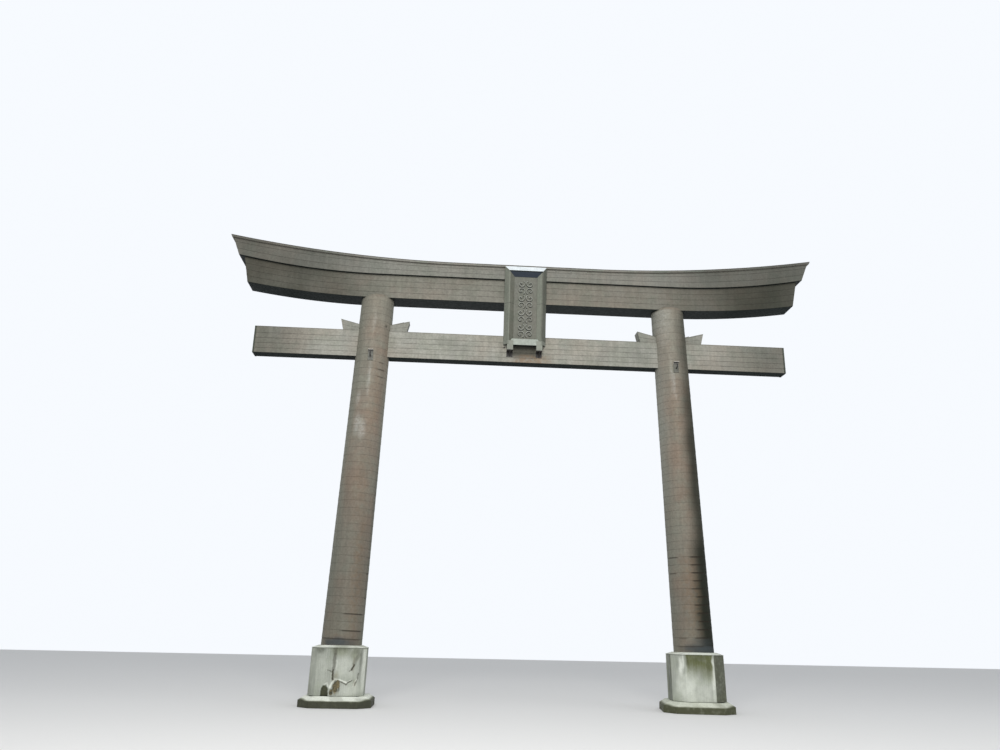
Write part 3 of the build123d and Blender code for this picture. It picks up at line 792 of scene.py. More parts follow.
def under_sheets(look, colour):
    """Soot and painted shade on the sheets, and dark timber wherever a seam gapes below the head."""
    below_head = look.span(look.upward(look.place), 8.340, 8.325)
    gaping = look.times(look.span(look.mark("tone"), 0.4, 0.0), below_head)
    return look.mix(gaping, darken_by_soot_and_shade(look, colour), (0.020, 0.018, 0.014))


pillar_colours = (0.220, 0.177, 0.138), (0.208, 0.191, 0.156), (0.208, 0.216, 0.176)
pillar_copper = copper_finish("pillar_copper", *pillar_colours, line=0.15, more=under_sheets)
head_at = lower_low.z - PILLAR_SHOULDER
pillar_length = hypot(head_at - pillar_low.z, PILLAR_LEAN)
for name, side in sides.items():
    skin = Skin(41 + side)
    place = pillar_place(side)
    sprung = sprung_by_course(SPRUNG[name])
    course_foot = FIRST_COURSE
    sheet_angle = 2 * pi / SHEETS_ROUND
    while course_foot < pillar_length - 0.001:
        course_head = min(course_foot + PILLAR_COURSE, pillar_length)
        start = skin.dice.uniform(0, 2 * pi)
        rows = (course_foot, course_head)
        skin.course(place, (start, start + 2 * pi), rows, sheet_angle, 12, lap=PILLAR_LAP, sprung=sprung)
        course_foot = course_head
    mesh = skin.mesh(f"pillar_sheets_{name}", in_tie)
    paint(mesh, **{mark: pillar_mark(side, patches) for mark, patches in PILLAR_MARKS[name].items()})
    paint(mesh, green=pillar_green(side, GREEN_FROM[name]))
    hang(mesh, pillar_copper)
coat(("pillar_left", "pillar_right"), pillar_copper)

# Tie beam. One straight timber through both pillars, clad in five courses of lighter copper sheet
# on each face and single sheets across its edges, with a bent trim over each end.
TIE_SEAMS = (0.0, 0.107, 0.222, 0.336, 0.451, 0.592)
SHEET_LENGTH = 0.455


def quad_place(a, b, c, d):
    """Flat face with corners a, b, c, d, seen anticlockwise, with u from a to b and v from a to d."""
    a, b, c, d = Vector(a), Vector(b), Vector(c), Vector(d)
    normal = (b - a).cross(d - a).normalized()

    def place(u, v):
        return a.lerp(b, u) * (1 - v) + d.lerp(c, u) * v, normal

    return place


def box_faces(low, high):
    """The four long faces of a squared timber that runs along X."""
    x0, y0, z0 = low
    x1, y1, z1 = high
    return {
        "front": quad_place((x0, y0, z0), (x1, y0, z0), (x1, y0, z1), (x0, y0, z1)),
        "back": quad_place((x1, y1, z0), (x0, y1, z0), (x0, y1, z1), (x1, y1, z1)),
        "under": quad_place((x0, y1, z0), (x1, y1, z0), (x1, y0, z0), (x0, y0, z0)),
        "top": quad_place((x0, y0, z1), (x1, y0, z1), (x1, y1, z1), (x0, y1, z1)),
    }


def in_pillar(p):
    """Inside a pillar, where the beam's sheets don't show."""
    return hypot(abs(p.x) - pillar_axis_x(p.z), p.y) < PILLAR_HEAD_RADIUS - 0.03


def tie_rust(p):
    """Brown run below the plaque's feet."""
    middle = 0.16 + 0.35 * (p.z - 7.1)
    half = 0.36 + 0.9 * max(0.0, 7.26 - p.z)
    wander = 0.10 * noise.noise(Vector((p.x * 5, 0, p.z * 2)))
    run = between(abs(p.x - middle) + wander, half, half * 0.5) * between(p.z, 7.24, 7.14)
    return 0.0 if p.y > 0 else 0.75 * run


def tie_dirt_and_shade(p):
    """Dirt and painted shade between the plaque's feet, painted shade under the beam, darker ends."""
    end = 0.45 * between(abs(p.x), 4.2, 5.5)
    niche = between(abs(p.x), 0.30, 0.23) * between(p.z, 7.04, 7.23) if p.y < 0 else 0.0
    under_beam = 0.8 if p.z < tie_low.z - 0.0003 else 0.0
    return max(end, under_beam, 0.78 * niche, 0.12 * between(noise.noise(p * 2.1), 0.1, 0.5))


tie_colours = (0.285, 0.265, 0.225), (0.292, 0.292, 0.258), (0.225, 0.235, 0.195)
tie_copper = copper_finish("tie_beam_copper", *tie_colours, line=0.38, more=darken_by_soot_and_shade)
cap_colours = (0.060, 0.067, 0.051), (0.057, 0.066, 0.052), (0.048, 0.059, 0.043)
cap_copper = copper_finish("tie_cap_copper", *cap_colours)
skin = Skin(7)
tie_faces = box_faces(tie_low, tie_high)
tie_length = tie_high.x - tie_low.x
shares = [up / TIE_SEAMS[-1] for up in TIE_SEAMS]
for face in ("front", "back"):
    for rows in zip(shares, shares[1:]):
        skin.course(tie_faces[face], (0, 1), rows, SHEET_LENGTH / tie_length, 5)
for face in ("under", "top"):
    skin.course(tie_faces[face], (0, 1), (0, 1), SHEET_LENGTH / tie_length, 5, lap=0.0005)
mesh = skin.mesh("tie_beam_sheets", in_pillar)
paint(mesh, rust=tie_rust, soot=tie_dirt_and_shade)
hang(mesh, tie_copper)
coat(("tie_beam",), tie_copper)
coat(("tie_beam_cap_left", "tie_beam_cap_right"), cap_copper)

# Wedges. Four tapered blocks, clad like the tie beam, are driven in over it from both sides of each
# pillar and lock it in its mortise. Their outer ends are cut at a slant.
WEDGE_END_SLANT = 0.060
WEDGE_THIN_END = 0.067
WEDGE_SOOT = 0.17
for name in ("wedge_left_outer", "wedge_left_inner", "wedge_right_outer", "wedge_right_inner"):
    low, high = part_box(name)
    outward = 1 if (low.x > 0) == name.endswith("outer") else -1
    thin_x, tip_x = (low.x, high.x) if outward > 0 else (high.x, low.x)
    outline = [
        (thin_x, low.z),
        (tip_x - outward * WEDGE_END_SLANT, low.z),
        (tip_x, high.z),
        (thin_x, low.z + WEDGE_THIN_END),
    ]
    if outward < 0:
        outline = [outline[1], outline[0], outline[3], outline[2]]
    front = [(x, low.y, z) for x, z in outline]
    back = [(x, high.y, z) for x, z in outline]
    end = (front[1], back[1], back[2], front[2]) if outward > 0 else (back[0], front[0], front[3], back[3])
    skin = Skin(len(name) + 3 * outward)
    for face in (quad_place(*front), quad_place(back[1], back[0], back[3], back[2])):
        for rows in ((0, 0.5), (0.5, 1)):
            skin.course(face, (0, 1), rows, 0.6, 4, lap=0.002)
    skin.lay(quad_place(*end), (0, 0.99), (0, 1), 3, lap=0.001)
    skin.lay(quad_place(front[3], front[2], back[2], back[3]), (0, 1), (0, 1), 4, lap=0.001)
    mesh = skin.mesh(f"{name}_sheets", in_pillar)
    paint(mesh, soot=lambda p: WEDGE_SOOT)
    hang(mesh, tie_copper)
    coat((name,), tie_copper)

# Lower lintel. A squared timber let into the pillar heads, level between them and sweeping up to
# both ends, clad in four courses of sheet that follow the sweep. The ends are cut at a slant.
LOWER_SWEEP = 17.400
LINTEL_SWEEP = 15.190
LOWER_HALF_UNDER = 6.100
LOWER_HALF_TOP = 6.226
LOWER_SEAMS = (0.0, 0.132, 0.268, 0.400, 0.540)
sweep_start = pillar_axis_x(lower_low.z)


def arc_rise(x, start, radius):
    """Height that an arc has gained at x, from where it leaves the level line."""
    return radius - sqrt(radius**2 - max(0.0, abs(x) - start) ** 2)


def swept_place(half_depth, halves, under, top, facing):
    """Face of a lintel, with u along it and v from 0 at its underside to 1 at its top."""

    def place(u, v):
        x = u * (halves[0] + (halves[1] - halves[0]) * v) / halves[1]
        z = under(x) + (top(x) - under(x)) * v
        return Vector((-facing * x, facing * half_depth, z)), Vector((0, facing, 0))

    return place


def edge_place(y_from, y_to, level, facing):
    """Underside or top of a lintel, with u along it and v across it from y_from to y_to."""

    def place(u, v):
        step = 0.01
        slope = (level(u + step) - level(u - step)) / (2 * step)
        normal = Vector((-slope, 0, 1)).normalized() * facing
        return Vector((u, y_from + (y_to - y_from) * v, level(u))), normal

    return place


def end_place(side, half_depth, halves, under, top):
    """Slanted end of a lintel, with u across it and v up it."""
    foot = Vector((side * halves[0], 0, under(halves[0])))
    head = Vector((side * halves[1], 0, top(halves[1])))
    across = Vector((0, side, 0))
    normal = across.cross((head - foot).normalized())

    def place(u, v):
        return foot.lerp(head, v) + across * u, normal

    return place


def clad_lintel(skin, half_depth, halves, under, top, seams):
    """Both faces and both ends of a swept lintel."""
    shares = [up / seams[-1] for up in seams]
    for facing in (-1, 1):
        face = swept_place(half_depth, halves, under, top, facing)
        for rows in zip(shares, shares[1:]):
            skin.course(face, (-halves[1], halves[1]), rows, SHEET_LENGTH, 5)
    for side in sides.values():
        face = end_place(side, half_depth, halves, under, top)
        for rows in zip(shares, shares[1:]):
            skin.course(face, (-half_depth, half_depth), rows, half_depth, 3)


def lower_under(x):
    return lower_low.z + arc_rise(x, sweep_start, LOWER_SWEEP)


def lower_top(x):
    return upper_low.z + arc_rise(x, sweep_start, LINTEL_SWEEP)


def lintel_ends_dirt_and_shade(p):
    """Darker towards both ends, partly weathering and partly painted shade."""
    most = 0.71 if p.z < lower_top(p.x) else 0.50
    return most * between(abs(p.x), 2.6, 5.0) * (0.95 + 0.3 * noise.noise(p * 1.7))


upper_low, upper_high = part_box("upper_lintel")
lower_colours = (0.192, 0.172, 0.141), (0.183, 0.177, 0.150), (0.150, 0.156, 0.126)
lower_copper = copper_finish("lintel_copper", *lower_colours, line=0.36, more=darken_by_soot_and_shade)
skin = Skin(19)
clad_lintel(skin, lower_high.y, (LOWER_HALF_UNDER, LOWER_HALF_TOP), lower_under, lower_top, LOWER_SEAMS)
soffit = edge_place(lower_high.y, -lower_high.y, lower_under, -1)
skin.course(soffit, (-LOWER_HALF_UNDER, LOWER_HALF_UNDER), (0, 1), SHEET_LENGTH, 3, lap=0.0005)
mesh = skin.mesh("lower_lintel_sheets")
paint(mesh, soot=lintel_ends_dirt_and_shade)
hang(mesh, lower_copper)
coat(("lower_lintel",), lower_copper)

# Upper lintel. A thicker timber on the lower one, standing out past it on every side and deepening
# towards its ends, clad in three courses. Four small copper knobs are riveted in a row on its
# front, right of the plaque.
UPPER_HALF_UNDER = 6.340
UPPER_HALF_TOP = 6.500
UPPER_HEIGHT = 0.285
CROWN_START = 1.500
CROWN = 29.200
UPPER_SEAMS = (0.0, 0.106, 0.221, 0.285)
KNOBS_X = (0.683, 1.023, 1.364, 1.705)
KNOB_UP = 0.258
KNOB_RADIUS = 0.013


def upper_top(x):
    return upper_low.z + UPPER_HEIGHT + arc_rise(x, CROWN_START, CROWN)


def on_knob(p):
    """The knobs are rubbed paler than the sheet behind them."""
    return 1.0 if p.y < upper_low.y - 0.0055 and abs(p.z - upper_low.z - KNOB_UP) < 0.014 else 0.0


def turned(foot, axis, profile, count=14):
    """Points and faces of a form turned round an axis, from (radius, height) pairs."""
    axis = Vector(axis).normalized()
    across = axis.orthogonal().normalized()
    up = axis.cross(across)
    points = []
    for radius, height in profile:
        for k in range(count):
            angle = 2 * pi * k / count
            points.append(Vector(foot) + axis * height + (across * cos(angle) + up * sin(angle)) * radius)
    faces = [tuple(reversed(range(count)))]
    for ring in range(len(profile) - 1):
        for k in range(count):
            a, b = ring * count + k, ring * count + (k + 1) % count
            faces.append((a, b, b + count, a + count))
    last = (len(profile) - 1) * count
    faces.append(tuple(range(last, last + count)))
    return points, faces


skin = Skin(23)
clad_lintel(skin, upper_high.y, (UPPER_HALF_UNDER, UPPER_HALF_TOP), lower_top, upper_top, UPPER_SEAMS)
for y_from, y_to in ((-lower_high.y, -upper_high.y), (upper_high.y, lower_high.y)):
    ledge = edge_place(y_from, y_to, lower_top, -1)
    skin.course(ledge, (-UPPER_HALF_UNDER, UPPER_HALF_UNDER), (0, 1), SHEET_LENGTH, 3, lap=0.0005)
for x in KNOBS_X:
    dome = [(KNOB_RADIUS, 0.0), (KNOB_RADIUS, 0.006), (KNOB_RADIUS * 0.7, 0.013), (0.003, 0.017)]
    skin.block(*turned((x, upper_low.y, upper_low.z + KNOB_UP), (0, -1, 0), dome))
mesh = skin.mesh("upper_lintel_sheets")
paint(mesh, soot=lintel_ends_dirt_and_shade, lime=on_knob)
upper_colours = (0.200, 0.188, 0.162), (0.196, 0.195, 0.172), (0.160, 0.170, 0.144)
upper_copper = copper_finish("upper_lintel_copper", *upper_colours, line=0.34, more=darken_by_soot_and_shade)
hang(mesh, upper_copper)
coat(("upper_lintel",), upper_copper)

# Roof. Boards over the upper lintel, covered in two courses of copper sheet a side under a rolled
# ridge, with a drip edge along both eaves. It follows the crown of the lintel and its slanted ends.
roof_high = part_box("roof")[1]
ROOF_EDGE = 0.045
ROOF_APEX = 0.168
ROOF_END_PLAY = 0.998
ROOF_OVERHANG = 0.040
RIDGE_ROLL_RADIUS = 0.021
RIDGE_ROLL_UP = 0.158
crown_low = upper_top(0)
end_lean = (UPPER_HALF_TOP - UPPER_HALF_UNDER) / (upper_top(UPPER_HALF_TOP) - lower_top(UPPER_HALF_UNDER))


def roof_reach(up):
    """Half length of the roof along its crown, at a height above its underside."""
    turn = 0.17
    for _ in range(6):
        z = crown_low + CROWN - (CROWN - up) * cos(turn)
        x = UPPER_HALF_TOP + end_lean * (z - upper_top(UPPER_HALF_TOP))
        turn = asin((x + ROOF_OVERHANG / cos(atan(end_lean)) - CROWN_START) / (CROWN - up))
    return CROWN_START + CROWN * turn


reach_low, reach_high = roof_reach(0.0), roof_reach(ROOF_APEX)


def roof_point(u, y, up):
    """Point of the roof, with u from -1 to 1 along it and up measured from its underside."""
    along = abs(u) * (reach_low + (reach_high - reach_low) * up / ROOF_APEX)
    if along <= CROWN_START:
        return Vector((copysign(along, u), y, crown_low + up))
    turn = (along - CROWN_START) / CROWN
    z = crown_low + CROWN - (CROWN - up) * cos(turn)
    return Vector((copysign(CROWN_START + (CROWN - up) * sin(turn), u), y, z))


def slope_place(facing):
    normal = Vector((0, facing * (ROOF_APEX - ROOF_EDGE), roof_high.y)).normalized()

    def place(u, v):
        up = ROOF_EDGE + (ROOF_APEX - ROOF_EDGE) * v
        return roof_point(-facing * u, facing * roof_high.y * (1 - v), up), normal

    return place


def eave_place(facing):
    def place(u, v):
        return roof_point(-facing * u, facing * (roof_high.y - 0.004), ROOF_EDGE * v), Vector((0, facing, 0))

    return place


def soffit_place(u, v):
    return roof_point(u, roof_high.y * (0.99 - 1.98 * v), 0.002), Vector((0, 0, -1))


def roll_place(u, v):
    angle = pi * (1.2 * v - 0.6)
    outward = Vector((0, -sin(angle), cos(angle)))
    point = roof_point(u, 0, RIDGE_ROLL_UP)
    return point + outward * RIDGE_ROLL_RADIUS, outward


roof_brown, roof_grey, roof_green = (0.212, 0.199, 0.172), (0.208, 0.207, 0.183), (0.165, 0.200, 0.165)
roof_copper = copper_finish(
    "roof_copper", roof_brown, roof_grey, roof_green, line=0.85, under=roof_brown, more=darken_by_soot_and_shade
)
skin = Skin(31)
sheet_share = 2 * SHEET_LENGTH / roof_high.x
whole = (-ROOF_END_PLAY, ROOF_END_PLAY)
for facing in (-1, 1):
    for rows in ((0, 0.5), (0.5, 0.97)):
        skin.course(slope_place(facing), whole, rows, sheet_share, 5)
    skin.course(eave_place(facing), whole, (0, 1), 2 * sheet_share, 5, lap=0.001)
skin.course(soffit_place, whole, (0, 1), 2 * sheet_share, 5, lap=0.0005)
skin.course(roll_place, whole, (0, 1), 2 * sheet_share, 5, lap=0.001)
eave_y = roof_high.y
rim = [(-eave_y, 0.0), (eave_y, 0.0), (eave_y, ROOF_EDGE), (0, ROOF_APEX), (-eave_y, ROOF_EDGE)]
for side in sides.values():
    end = ROOF_END_PLAY * side
    corners = [roof_point(end, y * 0.995, up) for y, up in rim]
    skin.block(corners, [tuple(range(5)) if side > 0 else tuple(reversed(range(5)))])
    foot = roof_point(end * 0.999, 0, RIDGE_ROLL_UP)
    skin.block(*turned(foot, (side, 0, 0), [(RIDGE_ROLL_RADIUS, 0.0), (RIDGE_ROLL_RADIUS, 0.008)]))
mesh = skin.mesh("roof_sheets")
paint(mesh, soot=lintel_ends_dirt_and_shade, green=lambda p: between(abs(p.y), eave_y - 0.008, eave_y - 0.030))
hang(mesh, roof_copper, ["roof"])

# Strut. A squared timber post stands between the tie beam and the lower lintel, behind the plaque,
# and is clad in courses of sheet like them.
STRUT_COURSES = 5
plaque_colours = (0.140, 0.138, 0.110), (0.153, 0.156, 0.128), (0.108, 0.123, 0.096)
strut_low, strut_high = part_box("plaque_strut")
strut_copper = copper_finish("strut_copper", *plaque_colours, line=0.45)
skin = Skin(37)
x0, y0, z0 = strut_low
x1, y1, z1 = strut_high
edges = [(x0, y0), (x1, y0), (x1, y1), (x0, y1)]
for a, b in zip(edges, edges[1:] + edges[:1]):
    face = quad_place((*a, z0), (*b, z0), (*b, z1), (*a, z1))
    for course in range(STRUT_COURSES):
        skin.lay(face, (0, 0.975), (course / STRUT_COURSES, (course + 1) / STRUT_COURSES), 3)
hang(skin.mesh("strut_sheets"), strut_copper)
coat(("plaque_strut",), strut_copper)

# Plaque. A frame of ridged timbers on two square feet leans forward on the tie beam, with a board
# laid on its outer slope all round, all dressed in copper. The top board is painted near white for
# the sky it reflects.
FOOT_UP = 0.230
PLAQUE_SEAM_UP = 1.08
PLAQUE_LEAN = radians(7)
plaque_foot = Vector((0, tie_low.y - 0.0003, tie_low.z + 0.240))
plaque_up = Vector((0, -sin(PLAQUE_LEAN), cos(PLAQUE_LEAN)))
plaque_front = Vector((0, -cos(PLAQUE_LEAN), -sin(PLAQUE_LEAN)))


def plaque_parts(look, colour):
    """Pale feet and the joint across the stiles, both found by the height up the frame."""
    pale_foot, joint_dirt = (0.245, 0.258, 0.222), (0.04, 0.04, 0.035)
    away = look.add("VectorMath", {0: look.place, 1: plaque_foot}, operation="SUBTRACT").outputs[0]
    up = look.add("VectorMath", {0: away, 1: plaque_up}, operation="DOT_PRODUCT").outputs["Value"]
    colour = look.mix(look.span(up, FOOT_UP + 0.012, FOOT_UP - 0.004, 0.0, 0.85), colour, pale_foot)
    off_joint = look.math("ABSOLUTE", look.math("SUBTRACT", up, PLAQUE_SEAM_UP))
    return look.mix(look.span(off_joint, 0.007, 0.003, 0.0, 0.55), colour, joint_dirt)


# Copies of the plaque's copper: dark undersides as painted shade, lighter boards as painted light on the
# faces turned to it, a darker right cover board as painted shade, a pale sill as painted light, and a
# near-white top board as a painted reflection of the sky.
plaque_underside_shade = (0.040, 0.050, 0.068)
lit_board_colours = (0.217, 0.228, 0.190), (0.228, 0.240, 0.200), (0.178, 0.203, 0.165)
shaded_colours = (0.142, 0.146, 0.121), (0.152, 0.157, 0.131), (0.116, 0.131, 0.108)
sky_reflection_colours = (0.78, 0.83, 0.86), (0.74, 0.79, 0.82), (0.66, 0.72, 0.74)
lit_sill_colours = (0.35, 0.38, 0.34), (0.37, 0.38, 0.35), (0.30, 0.34, 0.29)
plaque_copper = copper_finish("plaque_copper", *plaque_colours, line=0.0, under=plaque_underside_shade, more=plaque_parts)
lit_board_copper = copper_finish("plaque_lit_board_copper", *lit_board_colours, line=0.0, more=plaque_parts)
shaded_copper = copper_finish("plaque_shaded_copper", *shaded_colours, line=0.0, more=plaque_parts)
reflecting_rim_copper = copper_finish("plaque_rim_copper", *sky_reflection_colours, line=0.0, metal=0.0)
lit_sill_copper = copper_finish("plaque_lit_sill_copper", *lit_sill_colours, line=0.0)
coat(("plaque_stile_left", "plaque_head"), plaque_copper)
coat(("plaque_stile_right", "plaque_rim_left"), lit_board_copper)
coat(("plaque_rim_right",), shaded_copper)
coat(("plaque_rim_top",), reflecting_rim_copper)
coat(("plaque_sill",), lit_sill_copper)

# Panel of the plaque. A board behind the frame, faced with one copper sheet that carries pairs of
# cloud curls, beaten up from the back and rubbed bright on top, with dirt and painted shade under
# them and painted highlights on their upper flanks.
PANEL_HALF = 0.2557
PANEL_FOOT = 0.2823
PANEL_HEAD = 1.7007
PANEL_BACK = 0.020
PANEL_FRONT = 0.050
PANEL_GRID = 0.0035
CURL_ROWS = 8
CURL_FIRST = 0.390
CURL_ROW = 0.164
CURL_OFF = 0.098
CURL_START = 0.010
CURL_PITCH = 0.068
CURL_TURNS = 1.14
BEAD_HALF = 0.0165
BEAD_HEIGHT = 0.018


def plaque_point(x, up, out):
    return plaque_foot + Vector((x, 0, 0)) + plaque_up * up + plaque_front * out


def off_relief(x, up):
    """Distance to the nearest line of the curls, mirrored in pairs and turned over row by row."""
    row = min(CURL_ROWS - 1, max(0, round((up - CURL_FIRST) / CURL_ROW)))
    above = (up - CURL_FIRST - row * CURL_ROW) * (1 if row % 2 else -1)
    across = CURL_OFF - abs(x)
    nearest = hypot(above, across)
    turn = (atan2(above, across) / (2 * pi)) % 1.0
    while turn <= CURL_TURNS:
        nearest = min(nearest, abs(hypot(across, above) - CURL_START - CURL_PITCH * turn))
        turn += 1.0
    return nearest


columns = round(2 * PANEL_HALF / PANEL_GRID)
rows = round((PANEL_HEAD - PANEL_FOOT) / PANEL_GRID)
across = columns + 1
row_height = (PANEL_HEAD - PANEL_FOOT) / rows
beaten = []
points = []
for row in range(rows + 1):
    up = PANEL_FOOT + row_height * row
    for column in range(across):
        x = -PANEL_HALF + 2 * PANEL_HALF * column / columns
        beaten.append(BEAD_HEIGHT * between(off_relief(x, up), BEAD_HALF, BEAD_HALF * 0.3))
        points.append(plaque_point(x, up, PANEL_FRONT + beaten[-1]))
slopes = [
    (beaten[min(k + across, len(beaten) - 1)] - beaten[max(k - across, 0)]) / (2 * row_height)
    for k in range(len(beaten))
]
faces = [
    (a, a + 1, a + 1 + across, a + across)
    for row in range(rows)
    for a in range(row * across, row * across + columns)
]
border = list(range(across)) + [row * across + columns for row in range(1, rows + 1)]
border += [rows * across + column for column in range(columns - 1, -1, -1)]
border += [row * across for row in range(rows - 1, 0, -1)]
back_first = len(points)
points += [points[k] - plaque_front * (PANEL_FRONT - PANEL_BACK) for k in border]
for k in range(len(border)):
    after = (k + 1) % len(border)
    faces.append((border[after], border[k], back_first + k, back_first + after))
faces.append(tuple(reversed(range(back_first, len(points)))))
mesh = bpy.data.meshes.new("plaque_panel_sheet")
mesh.from_pydata(points, [], faces)
# Dirt and painted shade on the lower flanks of the curls, painted highlights on the upper flanks, and the
# tops rubbed bright.
dirt_and_shade_below_curls = [0.9 * between(slope, 0.1, 0.8) for slope in slopes]
rubbed_and_highlit = []
for slope, up in zip(slopes, beaten):
    on_top = 0.4 * between(up, 0.5 * BEAD_HEIGHT, BEAD_HEIGHT) * between(slope, 0.3, 0.0)
    rubbed_and_highlit.append(max(0.9 * between(slope, -0.1, -0.8), on_top))
for mark, values in (("soot", dirt_and_shade_below_curls), ("lime", rubbed_and_highlit)):
    write_mark(mesh, mark, values + [0.0] * len(border))
panel_colours = (0.156, 0.154, 0.130), (0.163, 0.166, 0.144), (0.128, 0.141, 0.112)
panel_copper = copper_finish("plaque_panel_copper", *panel_colours, line=0.0, more=darken_by_soot_and_shade)
hang(mesh, panel_copper, ["plaque_panel"])

# Fixings of the plaque. Two bolts through the tie beam beside the feet, and a thin galvanised stay
# from the right cover board down to the beam.
BOLTS = (-0.44, 0.394)
BOLT_UP = 0.09
STAY_HEAD = (0.462, -0.205, 7.836)
STAY_FOOT = (0.448, -0.146, 7.530)
STAY_RADIUS = 0.005
skin = Skin(3)
bolt_profile = [(0.019, 0.0), (0.019, 0.004), (0.013, 0.004), (0.013, 0.013), (0.008, 0.017), (0.001, 0.018)]
for x in BOLTS:
    skin.block(*turned((x, tie_low.y - 0.004, plaque_foot.z + BOLT_UP), (0, -1, 0), bolt_profile, 6))
bolts = skin.mesh("plaque_bolts")
skin = Skin(4)
run = Vector(STAY_HEAD) - Vector(STAY_FOOT)
skin.block(*turned(STAY_FOOT, run, [(STAY_RADIUS, 0.0), (STAY_RADIUS, run.length)], 8))
eye = [(0.014, 0.0), (0.014, 0.005), (0.006, 0.008)]
skin.block(*turned((STAY_FOOT[0], tie_low.y - 0.004, STAY_FOOT[2]), (0, -1, 0), eye, 10))
stay = skin.mesh("plaque_stay")

# Iron fittings. Forged brackets carry the plaque's feet on the tie beam, blocks hold its back, and
# a hooded plate with a bent bar on each pillar takes a rope.
iron = Finish("fitting_iron")
iron_colour = iron.mix(iron.cloud(30, 4, 0.38, 0.62), (0.030, 0.031, 0.032), (0.048, 0.042, 0.037))
# Upward faces are paler, partly dust and partly painted light.
dusty_and_lit_top = iron.span(iron.facing_up(), 0.25, 0.7, 0.0, 0.8)
iron_colour = iron.mix(dusty_and_lit_top, iron_colour, (0.26, 0.26, 0.23))
iron_finish = iron.done(iron_colour, 0.65, iron.bump(iron.noise(140, 3), 0.0008), metallic=0.4)
for piece in ("plaque_bracket", "plaque_tie", "rope_hook"):
    coat([f"{piece}_{name}" for name in sides], iron_finish)
hood_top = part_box("rope_hook_plate_left")[1].z


def lit_hood(look, colour):
    """The plate's hood, painted pale for the light on it."""
    share = look.span(look.upward(look.place), hood_top - 0.034, hood_top - 0.026, 0.0, 0.9)
    return look.mix(share, colour, (0.42, 0.40, 0.37))


plate_colours = (0.185, 0.170, 0.142), (0.162, 0.162, 0.146), (0.125, 0.13, 0.11)
plate_finish = copper_finish("hook_plate_paint", *plate_colours, more=lit_hood)
coat([f"rope_hook_plate_{name}" for name in sides], plate_finish)
hang(bolts, iron_finish, smooth=False)
zinc = Finish("stay_zinc")
zinc_colour = zinc.mix(zinc.cloud(60, 3, 0.4, 0.6), (0.36, 0.38, 0.37), (0.27, 0.28, 0.26))
zinc_finish = zinc.done(zinc_colour, 0.5, zinc.bump(zinc.noise(200, 2), 0.0003), metallic=0.5)
hang(stay, zinc_finish)

# Stand. A plain pale floor under an even daylight sky, with one broad light in front of the gate
# and a weaker one at its right.
FLOOR_SIZE = 60.0
SKY_ON_OBJECT = 0.55
SKY_SEEN = 1.0
mesh = bpy.data.meshes.new("floor")
half = FLOOR_SIZE / 2
corners = [(-half, -half, 0), (half, -half, 0), (half, half, 0), (-half, half, 0)]
mesh.from_pydata(corners, [], [(0, 1, 2, 3)])
floor = bpy.data.objects.new("floor", mesh)
bpy.context.scene.collection.objects.link(floor)
look = Finish("floor_card")
mesh.materials.append(look.done((0.80, 0.80, 0.79, 1), 0.9, look.bump(look.noise(2, 1), 0.0)))

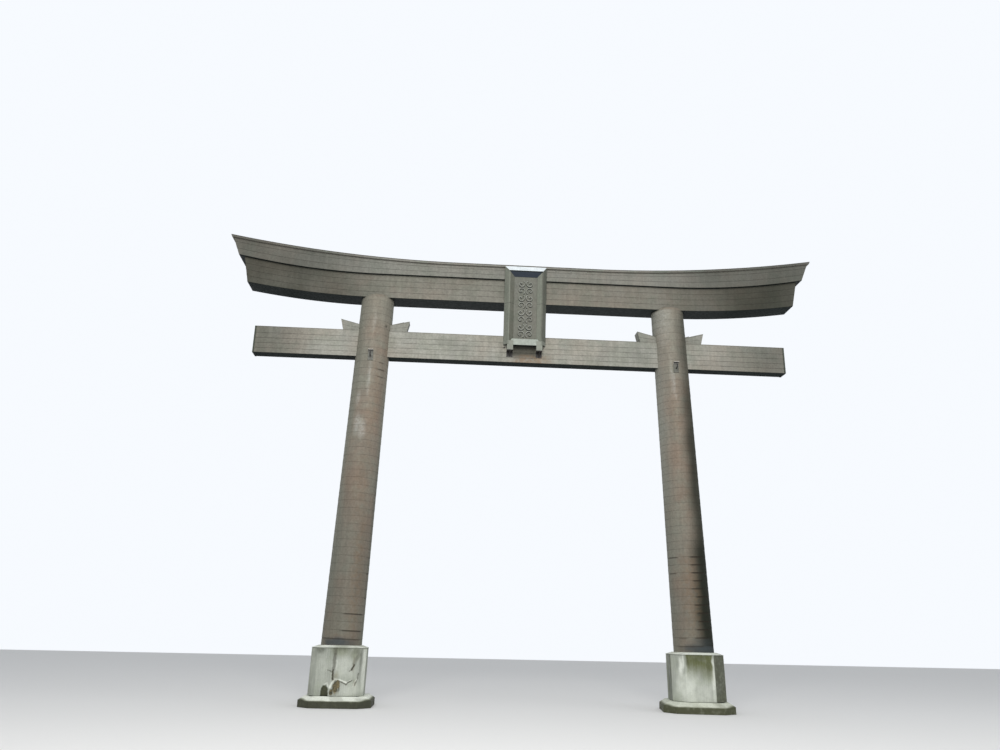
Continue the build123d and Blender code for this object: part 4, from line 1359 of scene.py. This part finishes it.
world = bpy.data.worlds.new("daylight")
bpy.context.scene.world = world
world.use_nodes = True
tree = world.node_tree
sky = tree.nodes["Background"]
sky.inputs["Color"].default_value = (0.93, 0.96, 1.0, 1)
paths = tree.nodes.new("ShaderNodeLightPath")
seen = tree.nodes.new("ShaderNodeMath")
seen.operation = "MAXIMUM"
tree.links.new(paths.outputs["Is Camera Ray"], seen.inputs[0])
tree.links.new(paths.outputs["Is Glossy Ray"], seen.inputs[1])
seen_also = tree.nodes.new("ShaderNodeMath")
seen_also.operation = "MAXIMUM"
tree.links.new(seen.outputs[0], seen_also.inputs[0])
tree.links.new(paths.outputs["Is Transmission Ray"], seen_also.inputs[1])
strength = tree.nodes.new("ShaderNodeMapRange")
strength.inputs["To Min"].default_value = SKY_ON_OBJECT
strength.inputs["To Max"].default_value = SKY_SEEN
tree.links.new(seen_also.outputs[0], strength.inputs["Value"])
tree.links.new(strength.outputs[0], sky.inputs["Strength"])


def add_lamp(name, place, aim, size, power, colour):
    light = bpy.data.lights.new(name, "AREA")
    light.size = size
    light.energy = power
    light.color = colour
    lamp = bpy.data.objects.new(name, light)
    lamp.location = place
    lamp.rotation_mode = "QUATERNION"
    lamp.rotation_quaternion = (Vector(aim) - Vector(place)).to_track_quat("-Z", "Y")
    bpy.context.scene.collection.objects.link(lamp)


add_lamp("front_light", (-2, -17, 13), (0, 0, 5), 10, 2400, (1.0, 0.98, 0.95))
add_lamp("side_light", (15, -9, 8), (0, 0, 5), 9, 200, (0.95, 0.98, 1.0))

# Camera. Held a little under head height in front of the gate, left of its middle, and tipped up,
# with a moderately wide lens.
CAMERA_PLACE = Vector((-1.507, -16.833, 1.396))
CAMERA_PITCH = radians(17.656)
CAMERA_YAW = radians(3.392)
CAMERA_ROLL = radians(1.239)
CAMERA_SENSOR = 36.0
CAMERA_LENS = 29.12
ahead = Vector((sin(CAMERA_YAW) * cos(CAMERA_PITCH), cos(CAMERA_YAW) * cos(CAMERA_PITCH), sin(CAMERA_PITCH)))
level = Vector((cos(CAMERA_YAW), -sin(CAMERA_YAW), 0))
upward = level.cross(ahead)
right = level * cos(CAMERA_ROLL) + upward * sin(CAMERA_ROLL)
above = upward * cos(CAMERA_ROLL) - level * sin(CAMERA_ROLL)
camera_data = bpy.data.cameras.new("camera")
camera_data.sensor_width = CAMERA_SENSOR
camera_data.lens = CAMERA_LENS
camera = bpy.data.objects.new("camera", camera_data)
camera.matrix_world = Matrix((
    (right.x, above.x, -ahead.x, CAMERA_PLACE.x),
    (right.y, above.y, -ahead.y, CAMERA_PLACE.y),
    (right.z, above.z, -ahead.z, CAMERA_PLACE.z),
    (0, 0, 0, 1),
))
bpy.context.scene.collection.objects.link(camera)
bpy.context.scene.camera = camera
bpy.context.scene.view_settings.view_transform = "Standard"
